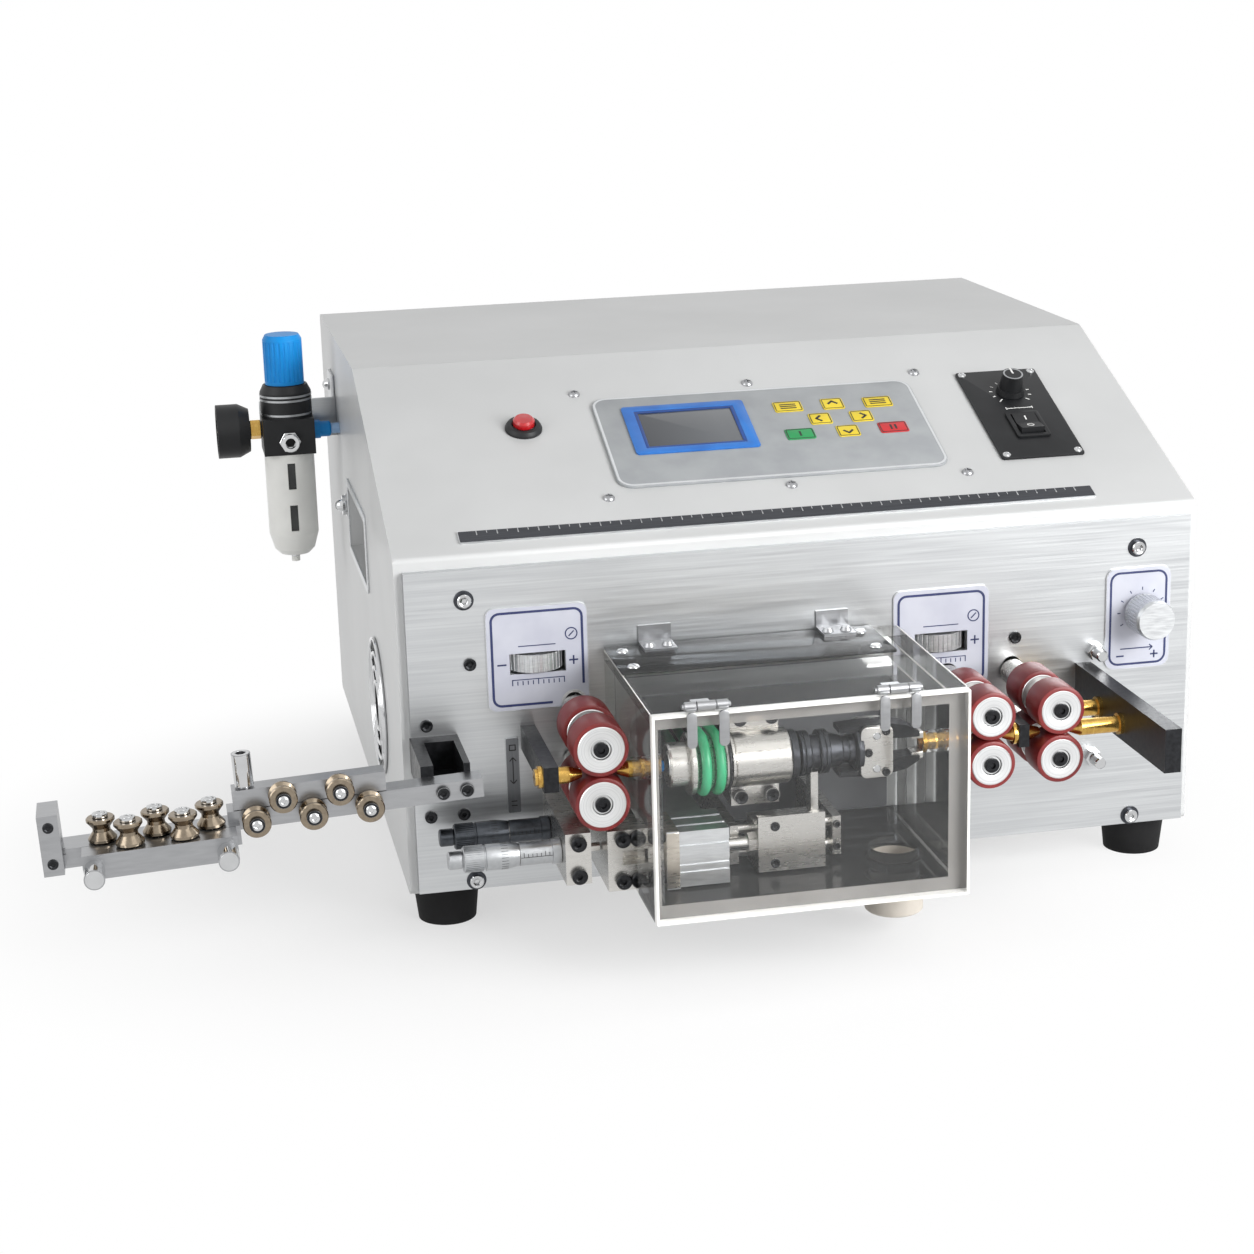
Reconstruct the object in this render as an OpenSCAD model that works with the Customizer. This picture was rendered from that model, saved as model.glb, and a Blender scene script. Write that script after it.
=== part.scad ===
// Bench wire cutting and stripping machine: a sheet-metal console with a working front panel.
// Millimetres, +Z up, the front looks along -Y, the floor is at Z = 0.

/* [Casing] */
// Width of the casing
body_w = 400; // [380:1:440]
// Depth of the casing, front lip to back
body_d = 360; // [330:1:400]
// Height of the casing without its feet
body_h = 232; // [225:1:245]
// Height of the upright front below the sloping console
front_h = 167.5; // [165:0.5:172]
// Depth of the sloping console, measured level
slope_run = 159; // [152:1:168]
// Thickness of the casing sheet
sheet_t = 1.5; // [1:0.1:2.5]
// Width of the lip around the front opening
lip_w = 12; // [8:1:16]
// Rounding of the casing's long edges
edge_r = 3; // [1:0.5:4]
// Height of the rubber feet
foot_h = 20; // [15:1:28]
// Diameter of a foot at the casing
foot_top_d = 33; // [28:1:36]
// Diameter of a foot at the floor
foot_floor_d = 28.6; // [22:0.2:32]
// Distance of a foot's centre from the casing's edges
foot_inset = 21; // [20:1:30]

/* [Front panel] */
// Thickness of the front panel plate
panel_t = 4.5; // [3:0.5:6]
// Margin of the panel plate inside the casing's outline
panel_margin = 4; // [3:0.5:6]
// Distance of the corner screws from the middle of the panel
panel_screw_x = 168; // [164:1:172]

/* [Wire line] */
// Distance of the wire line in front of the casing's lip
wire_out = 64; // [62:1:66]
// Height of the wire line above the casing's bottom
wire_up = 77; // [76:0.5:78]
// Bore of the guide nozzles
wire_bore = 4; // [2:0.5:5]

/* [Feed rollers] */
// Radius of the large feed rollers on the inlet side
left_r = 13; // [12:0.5:14]
// Radius of the small feed rollers on the outlet side
right_r = 11.75; // [10:0.25:12]
// Gap between an upper and a lower roller with the carriage down
nip_gap = 0.4; // [0.3:0.1:1]
// Width of one roller tyre
tyre_w = 18; // [14:0.5:19]
// Wall of the polyurethane tyre
tyre_wall = 2; // [1.5:0.25:3]
// Diameter of the roller shafts
shaft_d = 8; // [6:0.5:9]
// Place of the inlet rollers from the middle of the casing
left_x = -117; // [-119:0.5:-116]
// Place of the first outlet rollers
out_a_x = 69.5; // [68:0.5:71]
// Place of the second outlet rollers
out_b_x = 103.5; // [102:0.5:105]
// Upward travel of the roller carriages
carriage_lift = 3; // [1:0.5:3]

/* [Cutting head] */
// Outer radius of the head's bearing housing
housing_r = 13; // [12.5:0.25:14]
// Radius of the head's hollow spindle in its housing
spindle_r = 9; // [8:0.25:9.5]
// Thickness of the round drive belts
belt_d = 4.6; // [3.5:0.1:5]
// Travel of the fork that works the jaws
fork_travel = 6; // [4:0.5:7]
// Turn of one jaw as the head closes
jaw_turn = 5; // [2:0.5:6]

/* [Cover] */
// Width of the clear cover
cover_w = 146; // [145:0.5:148]
// Depth of the clear cover from the panel
cover_d = 105.5; // [104:0.5:112]
// Height of the clear cover
cover_h = 98; // [96:1:100]
// Thickness of the acrylic walls
acrylic_t = 5; // [4:0.5:6]
// Thickness of the door
door_t = 5; // [4:0.5:6]

/* [Wire straightener] */
// Reach of the straightener arm left of its clamp
arm_reach = 178; // [176:1:190]
// Droop of the arm below level, in degrees
arm_tilt = 2.5; // [0:0.5:4]
// Outer radius of the grooved rollers
guide_r = 6.4; // [5.5:0.1:6.6]
// Radius of the rollers at the bottom of the groove
groove_r = 4; // [3:0.25:4.5]

/* [Air regulator] */
// Width of the regulator body
regulator_w = 28.6; // [26:0.2:32]
// Diameter of the pressure gauge
gauge_d = 30; // [26:1:34]

/* [Fits] */
// Radial clearance of a shaft in its bearing
fit = 0.06; // [0.04:0.01:0.1]
// Clearance between neighbours that move past each other
gap = 0.35; // [0.3:0.05:0.5]

/* [Hidden] */
$fn = 48;
eps = 0.01;

// Casing
slope_angle = atan2(body_h - front_h, slope_run);
base_t = 2;
wall_x = body_w / 2;
casing_inner_x = wall_x - sheet_t;

// Front panel
panel_w = body_w - 2 * panel_margin;
panel_h = front_h - 2 * panel_margin;
panel_z0 = foot_h + panel_margin / 2;
panel_face = -panel_t;
scale_t = 1;
screw_head_r = 4;
screw_head_t = 2.2;

// Wire line and rollers
wire_y = -wire_out;
wire_z = foot_h + wire_up;
shaft_r = shaft_d / 2;
roller_front = wire_y - tyre_w / 2;
tyre_step = 27;
left_half = left_r + nip_gap / 2;
right_half = right_r + nip_gap / 2;
shaft_back = 30;
carriage_y0 = 22;
carriage_t = 7;

// Adjusting wheels behind the panel
thumb_r = 14;
thumb_h = 8.6;
thumb_show = 3.5;
thumb_y = panel_face - thumb_show + thumb_r;
thumb_pin_r = 3;
left_thumb = [-134, foot_h + 114];
right_thumb = [66.5, foot_h + 107];
window_w = 27;
window_h = 10.2;
scale_w = 49;
scale_h = 51;

// Cover box
cover_x0 = -102;
cover_z0 = foot_h + 19.5;
cover_front = panel_face - cover_d;
cover_top = cover_z0 + cover_h;
hinge_r = 2.2;
leaf_t = 1.2;
hinge_y = cover_front - door_t / 2;
hinge_z = cover_top + hinge_r + gap;
hinge_xs = [cover_x0 + 25, cover_x0 + 113];

// Straightener arm, drawn in its own level frame at the clamp
arm_x = -190;
arm_bar_h = 9;
arm_bar_t = 12;
end_block_t = 9;
end_block_h = 28;
end_block_w = 20;

// Regulator on the left side
reg_x = -wall_x - 29;
reg_y = body_d - 96;
reg_z = foot_h + body_h - 51;

// The part's origin is the middle of its floor area
outlet_bar_front = -116;
x_min = arm_x - arm_reach * cos(arm_tilt) - end_block_h / 2 * sin(arm_tilt);
x_mid = (x_min + wall_x) / 2;
y_min = min(outlet_bar_front, cover_front - gap - door_t - leaf_t);
y_mid = (y_min + body_d) / 2;

module place() {
  translate([-x_mid, -y_mid, 0]) children();
}

// A cylinder along X or Y, starting at the given point
module bar_x(p, r, l) {
  translate(p) rotate([0, 90, 0]) cylinder(r = r, h = l);
}

module bar_y(p, r, l) {
  translate(p) rotate([-90, 0, 0]) cylinder(r = r, h = l);
}

// A box by its lowest corner and size
module block(p, s) {
  translate(p) cube(s);
}

// A plate with rounded corners, centred, lying on Z = 0
module round_plate(w, h, t, r) {
  translate([-w / 2 + r, -h / 2, 0]) cube([w - 2 * r, h, t]);
  translate([-w / 2, -h / 2 + r, 0]) cube([w, h - 2 * r, t]);
  for (x = [-1, 1], y = [-1, 1])
    translate([x * (w / 2 - r), y * (h / 2 - r), 0]) cylinder(r = r, h = t);
}

// Children drawn on the panel's face: local X to the right, Y up, Z out of the face
module on_panel(x, z) {
  translate([x, panel_face, z]) rotate([90, 0, 0]) children();
}

// Children drawn on the sloping console: local Y runs up the slope, Z out of it
module on_slope(x, s) {
  translate([x, s * cos(slope_angle), foot_h + front_h + s * sin(slope_angle)])
    rotate([slope_angle, 0, 0]) children();
}

// A socket-head screw standing on Z = 0
module socket_screw(r, t) {
  difference() {
    cylinder(r = r, h = t);
    translate([0, 0, t / 2]) cylinder(r = r * 0.5, h = t, $fn = 6);
  }
}

// Casing
function casing_profile(d) = let (
    k = d * tan(slope_angle) - d / cos(slope_angle),
    top_y = (body_h - d - front_h + d / cos(slope_angle)) / tan(slope_angle))
  [[d, 0], [body_d - d, 0], [body_d - d, body_h - d], [top_y, body_h - d], [d, front_h + k]];

module casing_solid(d) {
  translate([-(wall_x - d), 0, foot_h]) rotate([90, 0, 90])
    linear_extrude(height = 2 * (wall_x - d)) children();
}

fan_y = 108;
fan_z = foot_h + 64;
fan_r = 33;
handle_y = 178;
handle_z = foot_h + 139;
handle_l = 92;
handle_h = 34;
handle_depth = 22;
button_at = [-120.7, 104];
dial_at = [136.5, 87];
speed_at = [138, 106];
rocker_at = [137, 74];
rocker_w = 13;
rocker_l = 18;
inlet_w = 28;
inlet_h = 20;
inlet_at = [-110, foot_h + 45];

module base_plate() color("dimgray") {
  difference() {
    block([-casing_inner_x + gap, sheet_t + gap, foot_h],
      [2 * (casing_inner_x - gap), body_d - 2 * (sheet_t + gap), base_t]);
    for (i = [0 : 7])
      block([-90 + i * 24, 210, foot_h - 1], [12, 60, base_t + 2]);
  }
}

module housing_shell() color("whitesmoke") {
  difference() {
    casing_solid(0) offset(r = edge_r, $fn = 24) offset(delta = -edge_r) polygon(casing_profile(0));
    casing_solid(sheet_t) polygon(concat([[sheet_t, -1], [body_d - sheet_t, -1]],
      [for (i = [2 : 4]) casing_profile(sheet_t)[i]]));
    block([-wall_x + lip_w, -1, foot_h + lip_w], [body_w - 2 * lip_w, sheet_t + 2, front_h - 2 * lip_w]);
    bar_x([-wall_x - 1, fan_y, fan_z], fan_r, sheet_t + 2);
    for (s = [-1, 1])
      block([s > 0 ? wall_x - 2 : -wall_x - 1, handle_y - handle_l / 2, handle_z - handle_h / 2],
        [sheet_t + 1.6, handle_l, handle_h]);
    bar_x([-wall_x - 1, reg_y, reg_z], 3.5, sheet_t + 2);
    on_slope(button_at[0], button_at[1]) translate([0, 0, -3]) cylinder(r = 3.4, h = 4);
    on_slope(speed_at[0], speed_at[1]) translate([0, 0, -3]) cylinder(r = 3.4, h = 4);
    on_slope(rocker_at[0], rocker_at[1])
      translate([-rocker_w / 2, -rocker_l / 2, -3]) cube([rocker_w, rocker_l, 4]);
    translate([inlet_at[0] - inlet_w / 2, body_d - sheet_t - 1, inlet_at[1] - inlet_h / 2])
      cube([inlet_w, sheet_t + 2, inlet_h]);
    for (i = [0 : 9])
      block([20 + i * 12, body_d - sheet_t - 1, foot_h + 70], [5, sheet_t + 2, 60]);
  }
  for (s = [-1, 1])
    handle_pocket(s);
}

// A recessed hand grip: a tray sunk into the side wall
module handle_pocket(s) {
  x0 = s > 0 ? wall_x - handle_depth : -wall_x;
  difference() {
    block([x0, handle_y - handle_l / 2 - sheet_t, handle_z - handle_h / 2 - sheet_t],
      [handle_depth, handle_l + 2 * sheet_t, handle_h + 2 * sheet_t]);
    block([s > 0 ? x0 + sheet_t : x0 - 1, handle_y - handle_l / 2, handle_z - handle_h / 2],
      [handle_depth - sheet_t + 1, handle_l, handle_h]);
  }
}

foot_side = foot_inset - 1;
module rubber_feet() color([0.09, 0.09, 0.09]) {
  for (x = [-1, 1], y = [foot_inset, body_d - foot_inset])
    translate([x * (wall_x - foot_side), y, 0]) difference() {
      cylinder(r1 = foot_floor_d / 2, r2 = foot_top_d / 2, h = foot_h);
      translate([0, 0, -1]) cylinder(r = 4, h = 5);
    }
}

// Front panel
panel_screws_low = foot_h + 6.5;
panel_screws_high = foot_h + 147;
socket_places = [[-166.4, 115.5], [105, 106], [-188.5, 87], [-188.5, 41], [-172.5, 41]];
stud_places = [[147, 95.5], [147.3, 39.5]];
stud_l = 11;
console_screw_xs = [-89.5, 2.5, 93.5];
console_screw_ss = [38, 133];
knob_at = [171, foot_h + 114];
knob_pin_r = 3;
belt_window = [20, 40];
belt_mid = -65;

module shaft_slot(x, z, lift) {
  r = shaft_r + 0.6;
  y0 = panel_face - scale_t - 1;
  bar_y([x, y0, z], r, 2 - y0);
  bar_y([x, y0, z + lift], r, 2 - y0);
  block([x - r, y0, z], [2 * r, 2 - y0, lift]);
}

module front_panel() color("silver") {
  difference() {
    block([-panel_w / 2, panel_face, panel_z0], [panel_w, panel_t, panel_h]);
    for (p = [left_thumb, right_thumb])
      block([p[0] - window_w / 2, panel_face - 1, p[1] - window_h / 2], [window_w, panel_t + 2, window_h]);
    shaft_slot(left_x, wire_z + left_half, carriage_lift);
    shaft_slot(left_x, wire_z - left_half, eps);
    for (x = [out_a_x, out_b_x]) {
      shaft_slot(x, wire_z + right_half, carriage_lift);
      shaft_slot(x, wire_z - right_half, eps);
    }
    block([belt_mid - belt_window[0] / 2, panel_face - 1, wire_z - belt_window[1] / 2],
      [belt_window[0], panel_t + 2, belt_window[1]]);
    bar_y([knob_at[0], panel_face - 1, knob_at[1]], knob_pin_r + fit, panel_t + 2);
  }
}

module panel_screws() color("gainsboro") {
  for (x = [-panel_screw_x, panel_screw_x], z = [panel_screws_low, panel_screws_high])
    on_panel(x, z) {
      cylinder(r = screw_head_r + 0.8, h = 0.6);
      translate([0, 0, 0.6]) socket_screw(screw_head_r - 0.6, screw_head_t);
    }
  for (p = socket_places)
    on_panel(p[0], foot_h + p[1]) socket_screw(3, 1.6);
  for (p = stud_places)
    on_panel(p[0], foot_h + p[1]) {
      cylinder(r = 3, h = stud_l);
      cylinder(r = 4.5, h = 3, $fn = 6);
    }
  for (x = console_screw_xs, s = console_screw_ss)
    on_slope(x, s) socket_screw(3, 1.8);
}

// Plates and windows on the front panel, and the rule on the console
rule_l = 318;
rule_w = 9;
pressure_w = 34;
pressure_h = 52;
strip_at = [-148, foot_h + 58.5];

module scale_plate(p, dz) {
  on_panel(p[0], p[1] + dz) difference() {
    round_plate(scale_w, scale_h, scale_t, 4);
    translate([-window_w / 2, -dz - window_h / 2, -1]) cube([window_w, window_h, scale_t + 2]);
  }
}

module scale_plates() color("gainsboro") {
  difference() {
    scale_plate(left_thumb, 2.5);
    shaft_slot(left_x, wire_z + left_half, carriage_lift);
  }
  difference() {
    scale_plate(right_thumb, 1.8);
    shaft_slot(out_a_x, wire_z + right_half, carriage_lift);
  }
  on_panel(knob_at[0] - 2, knob_at[1] - 3) difference() {
    round_plate(pressure_w, pressure_h, scale_t, 5);
    translate([2, 3, -1]) cylinder(r = knob_pin_r + gap, h = scale_t + 2);
  }
  on_panel(strip_at[0], strip_at[1]) round_plate(6.5, 38, scale_t, 1);
  on_slope(-8, 13.5) round_plate(rule_l, rule_w, scale_t, 0.6);
}

// Console: keypad plate with its display, dial plate, button bezel and rocker frame
keypad_at = [2, 85];
keypad_size = [170, 81];
plate_t = 1.5;
display_at = [-39, 7.7];
display_frame = [64, 43.5];
display_size = [50, 33];
key_w = 13;
key_h = 8;
keys = [[15.5, 20.8], [39.3, 20.8], [63.3, 20], [29.4, 7.7],
  [51.3, 7.7], [40.8, -5], [15.6, -5], [64.9, -4.4]];
dial_size = [44, 82];
button_r = 5.5;
stem_r = 3;
button_travel = 2.5;

module console_plates() color("darkgray") {
  on_slope(keypad_at[0], keypad_at[1]) {
    difference() {
      union() {
        round_plate(keypad_size[0], keypad_size[1], plate_t, 8);
        translate(display_at) round_plate(display_frame[0], display_frame[1], plate_t + 1, 2);
        for (k = keys)
          translate(k) round_plate(key_w, key_h, plate_t + 0.5, 1);
      }
      translate([display_at[0] - display_size[0] / 2, display_at[1] - display_size[1] / 2, plate_t - 0.5])
        cube([display_size[0], display_size[1], 3]);
    }
    translate([display_at[0] - display_size[0] / 2, display_at[1] - display_size[1] / 2, plate_t - 0.5])
      cube([display_size[0], display_size[1], 0.6]);
  }
  on_slope(dial_at[0], dial_at[1]) difference() {
    union() {
      round_plate(dial_size[0], dial_size[1], plate_t, 1.5);
      translate([rocker_at[0] - dial_at[0], rocker_at[1] - dial_at[1], 0])
        round_plate(rocker_w + 5, rocker_l + 5, plate_t + 1.5, 1.5);
    }
    translate([speed_at[0] - dial_at[0], speed_at[1] - dial_at[1], -1])
      cylinder(r = stem_r + fit, h = plate_t + 2);
    translate([rocker_at[0] - dial_at[0] - rocker_w / 2, rocker_at[1] - dial_at[1] - rocker_l / 2, -1])
      cube([rocker_w, rocker_l, plate_t + 4]);
  }
  on_slope(button_at[0], button_at[1]) rotate_extrude()
    polygon([[button_r + gap, 0], [9.5, 0], [9.5, 1], [8.4, 3], [button_r + gap, 3]]);
}

module push_button() color("crimson") {
  on_slope(button_at[0], button_at[1]) {
    translate([0, 0, -8]) cylinder(r = stem_r, h = 8 + button_travel + 1);
    translate([0, 0, button_travel + gap]) rotate_extrude()
      polygon([[0, 0], [button_r, 0], [button_r, 2.6], [button_r - 1, 3.6], [0, 4]]);
  }
}

module speed_knob() color([0.1, 0.1, 0.1]) {
  on_slope(speed_at[0], speed_at[1]) {
    translate([0, 0, -8]) cylinder(r = stem_r, h = 12);
    translate([0, 0, plate_t + gap]) difference() {
      union() {
        cylinder(r1 = 7.5, r2 = 7, h = 3);
        cylinder(r1 = 6.4, r2 = 5.6, h = 11);
      }
      translate([-0.6, 0, 10]) cube([1.2, 8, 2]);
      for (i = [0 : 17])
        rotate([0, 0, i * 20]) translate([6.9, 0, 3.4]) cylinder(r = 0.75, h = 9, $fn = 13);
    }
  }
}

rocker_lean = 7;
rocker_pin_r = 1.2;
module rocker_switch() color([0.12, 0.12, 0.12]) {
  on_slope(rocker_at[0], rocker_at[1]) rotate([-rocker_lean, 0, 0]) difference() {
    translate([-rocker_w / 2 + gap, 0, 0]) rotate([90, 0, 90]) linear_extrude(height = rocker_w - 2 * gap)
      polygon([[-8.2, -3], [8.2, -3], [8.2, 4.5], [0, 3.2], [-8.2, 4.5]]);
    bar_x([-rocker_w / 2, 0, 0], rocker_pin_r, rocker_w);
  }
}

knob_r = 10;
knob_l = 19;
module pressure_knob() color("lightgray") {
  on_panel(knob_at[0], knob_at[1]) {
    translate([0, 0, -panel_t - 6]) cylinder(r = knob_pin_r, h = panel_t + 10);
    translate([0, 0, scale_t + gap]) difference() {
      union() {
        cylinder(r = knob_r - 1.2, h = knob_l);
        translate([0, 0, 2]) cylinder(r = knob_r, h = knob_l - 4);
        translate([0, 0, knob_l - 2]) cylinder(r1 = knob_r, r2 = knob_r - 0.8, h = 2);
      }
      for (i = [0 : 35])
        rotate([0, 0, i * 10]) translate([knob_r + 0.1, 0, 3]) cylinder(r = 0.5, h = knob_l - 7, $fn = 13);
    }
  }
}

// Adjusting wheels, roller carriages and the bearing frames behind the panel
ear_t = 5;
ear_w = 16;
lug_t = 6;
carriage_side = 10;
bearing_len = 20;
bearing_side = 11;

module thumbwheel(p) {
  translate([p[0], thumb_y, p[1]]) {
    translate([0, 0, -thumb_h / 2 - gap - ear_t])
      cylinder(r = thumb_pin_r, h = thumb_h + 2 * gap + ear_t + lug_t + carriage_lift + 1);
    difference() {
      translate([0, 0, -thumb_h / 2]) cylinder(r = thumb_r, h = thumb_h);
      for (i = [0 : 35])
        rotate([0, 0, i * 10]) translate([thumb_r + 0.25, 0, -thumb_h / 2 - 1])
          cylinder(r = 0.6, h = thumb_h + 2, $fn = 13);
    }
  }
}

module left_thumbwheel() color("lightgray") thumbwheel(left_thumb);
module right_thumbwheel() color("lightgray") thumbwheel(right_thumb);

// A plate that slides up and down behind the panel: it holds upper shafts and a lug above the wheel
module carriage(p, xs, shaft_z) {
  x0 = min(p[0], xs[0]) - carriage_side;
  x1 = max(p[0], xs[len(xs) - 1]) + carriage_side;
  lug_z = p[1] + thumb_h / 2 + gap;
  difference() {
    union() {
      block([x0, carriage_y0, shaft_z - carriage_side], [x1 - x0, carriage_t, 2 * carriage_side]);
      block([p[0] - carriage_side, carriage_y0, shaft_z],
        [2 * carriage_side, carriage_t, lug_z + lug_t - shaft_z]);
      block([p[0] - carriage_side, gap, lug_z], [2 * carriage_side, carriage_y0 - gap + 1, lug_t]);
    }
    for (x = xs)
      bar_y([x, carriage_y0 - 1, shaft_z], shaft_r + fit, carriage_t + 2);
    translate([p[0], thumb_y, lug_z - 1]) cylinder(r = thumb_pin_r + fit, h = lug_t + 2);
  }
}

module left_carriage() color("slategray") carriage(left_thumb, [left_x], wire_z + left_half);
module right_carriage() color("slategray") carriage(right_thumb, [out_a_x, out_b_x], wire_z + right_half);

module bearing_block(xs, shaft_z) {
  difference() {
    block([xs[0] - bearing_side, 0, shaft_z - bearing_side],
      [xs[len(xs) - 1] - xs[0] + 2 * bearing_side, bearing_len, bearing_side + shaft_r + 3]);
    for (x = xs)
      bar_y([x, -1, shaft_z], shaft_r + fit, bearing_len + 2);
  }
}

module wheel_ear(p) {
  translate([p[0], 0, p[1] - thumb_h / 2 - gap - ear_t]) difference() {
    translate([-ear_w / 2, 0, 0]) cube([ear_w, thumb_y + ear_w / 2, ear_t]);
    translate([0, thumb_y, -1]) cylinder(r = thumb_pin_r + fit, h = ear_t + 2);
  }
}

module drive_frames() color("gray") {
  bearing_block([left_x], wire_z - left_half);
  bearing_block([out_a_x, out_b_x], wire_z - right_half);
  wheel_ear(left_thumb);
  wheel_ear(right_thumb);
}

// A feed roller: a shaft with two tyred hubs, for two wires side by side
hub_relief = 0.8;
collar_r = 6.5;

module feed_roller(x, z, r, back) {
  hub_r = r - tyre_wall;
  gap_y = tyre_step - tyre_w;
  rear_end = 2 * tyre_w + gap_y;
  collar_end = panel_face - scale_t - gap - roller_front;
  translate([x, roller_front, z]) rotate([-90, 0, 0]) {
    difference() {
      rotate_extrude() polygon([[0, hub_relief], [4.6, hub_relief], [4.9, 0], [hub_r, 0], [hub_r + 0.3, 0.3],
        [r - 0.7, 0.3], [r, 1], [r, tyre_w - 0.8], [r - 0.8, tyre_w], [collar_r, tyre_w],
        [collar_r, tyre_w + gap_y], [r - 0.8, tyre_w + gap_y], [r, tyre_w + gap_y + 0.8], [r, rear_end - 0.8],
        [r - 0.8, rear_end], [collar_r, rear_end], [collar_r, collar_end],
        [shaft_r, collar_end], [shaft_r, back - roller_front], [0, back - roller_front]]);
      translate([0, 0, -1]) cylinder(r = 1.8, h = 4, $fn = 6);
    }
  }
}

module left_upper_roller() color("firebrick")
  feed_roller(left_x, wire_z + left_half, left_r, shaft_back);
module left_lower_roller() color("firebrick")
  feed_roller(left_x, wire_z - left_half, left_r, bearing_len + 1);
module first_upper_roller() color("firebrick")
  feed_roller(out_a_x, wire_z + right_half, right_r, shaft_back);
module first_lower_roller() color("firebrick")
  feed_roller(out_a_x, wire_z - right_half, right_r, bearing_len + 1);
module second_upper_roller() color("firebrick")
  feed_roller(out_b_x, wire_z + right_half, right_r, shaft_back);
module second_lower_roller() color("firebrick")
  feed_roller(out_b_x, wire_z - right_half, right_r, bearing_len + 1);

// Wire guides: black holders standing out from the panel, and turned brass nozzles in them
nozzle_r = 4;
tip_r = 1.9;
inlet_x = left_x - left_r - 10;
mid_x = cover_x0 + acrylic_t + 4;
mid_holder_w = 6;
between_x = (out_a_x + out_b_x) / 2;
between_w = 5;
outlet_x = 137;
outlet_bar_w = 8;
outlet_bar_z0 = foot_h + 69;
outlet_bar_h = 21;
mount_w = 23;
mount_h = 17;
mount_z0 = foot_h + 64.5;
arm_back = wire_y + 16.3;

// A holder from the panel to just past the wire line, bored along X for a nozzle
module wire_holder(x, w, h) {
  difference() {
    block([x - w / 2, wire_y - h / 2, wire_z - h / 2], [w, panel_face - wire_y + h / 2, h]);
    bar_x([x - w, wire_y, wire_z], nozzle_r, 2 * w);
  }
}

module guide_holders() color([0.13, 0.13, 0.14]) {
  wire_holder(inlet_x, 7, 12);
  wire_holder(mid_x, mid_holder_w, 11);
  wire_holder(between_x, between_w, 11);
  difference() {
    block([outlet_x, outlet_bar_front, outlet_bar_z0],
      [outlet_bar_w, panel_face - outlet_bar_front, outlet_bar_h]);
    for (dy = [0, tyre_step])
      bar_x([outlet_x - 1, wire_y + dy, wire_z], nozzle_r, outlet_bar_w + 2);
  }
  difference() {
    block([arm_x - 7, arm_back, mount_z0], [mount_w, panel_face - arm_back, mount_h]);
    block([arm_x - 1, arm_back - 1, mount_z0 + 3], [mount_w - 9, -arm_back + panel_face - 8, mount_h]);
  }
}

// A turned nozzle along X from x0 to x1, seated from s0 to s1, tapered at the ends asked for
module nozzle(x0, x1, s0, s1, dy, taper_in, taper_out) {
  translate([x0, wire_y + dy, wire_z]) rotate([0, 90, 0]) rotate_extrude()
    polygon([[wire_bore / 2 - 0.8, 0], [taper_in ? tip_r : nozzle_r, 0], [nozzle_r, taper_in ? 5 : 0],
      [nozzle_r, s0 - x0 - 2], [nozzle_r + 1.2, s0 - x0 - 2], [nozzle_r + 1.2, s0 - x0], [nozzle_r, s0 - x0],
      [nozzle_r, s1 - x0], [nozzle_r, taper_out ? x1 - x0 - 6 : x1 - x0],
      [taper_out ? tip_r : nozzle_r, x1 - x0], [wire_bore / 2 - 0.8, x1 - x0]]);
}

cover_x1 = cover_x0 + cover_w;
module guide_nozzles() color([0.78, 0.6, 0.3]) {
  nozzle(inlet_x - 7, left_x - 8, inlet_x - 3.5, inlet_x + 3.5, 0, false, true);
  nozzle(left_x + 8.5, -87, mid_x - mid_holder_w / 2, mid_x + mid_holder_w / 2, 0, true, true);
  nozzle(out_a_x + 8, out_b_x - 8, between_x - between_w / 2, between_x + between_w / 2, 0, true, true);
  nozzle(cover_x1 - acrylic_t - 0.5, out_a_x - 7.5, cover_x1 - acrylic_t, cover_x1, 0, false, true);
  for (dy = [0, tyre_step])
    nozzle(out_b_x + 7.5, outlet_x + outlet_bar_w + 5, outlet_x, outlet_x + outlet_bar_w, dy, true, false);
}

// Rotary cutting head: places along X, measured on the wire line
nose_x = -85;
flange_x = -76;
pulley_x = -73;
ring_x = -58.2;
housing_x0 = -57;
housing_x1 = -28;
shoulder_x = housing_x1 + gap;
collar_x = -23;
hub_x = 4.2;
cheek_x = 7;
cheek_end = 21;
pivot = [13, 8];
pulley_r = 13.6;
belt_pitch_r = 13.4;
motor_pulley_r = 9;
motor_pulley_y = 45;
belt_xs = [-69, -62.2];
sleeve_r = 7;
jaw_half = 5.2;
pin_r = 1.5;

module on_head(x) {
  translate([x, wire_y, wire_z]) rotate([0, 90, 0]) children();
}

module belt_groove(x, r) {
  on_head(x) rotate_extrude() translate([r, 0]) circle(r = belt_d / 2 + gap);
}

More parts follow.
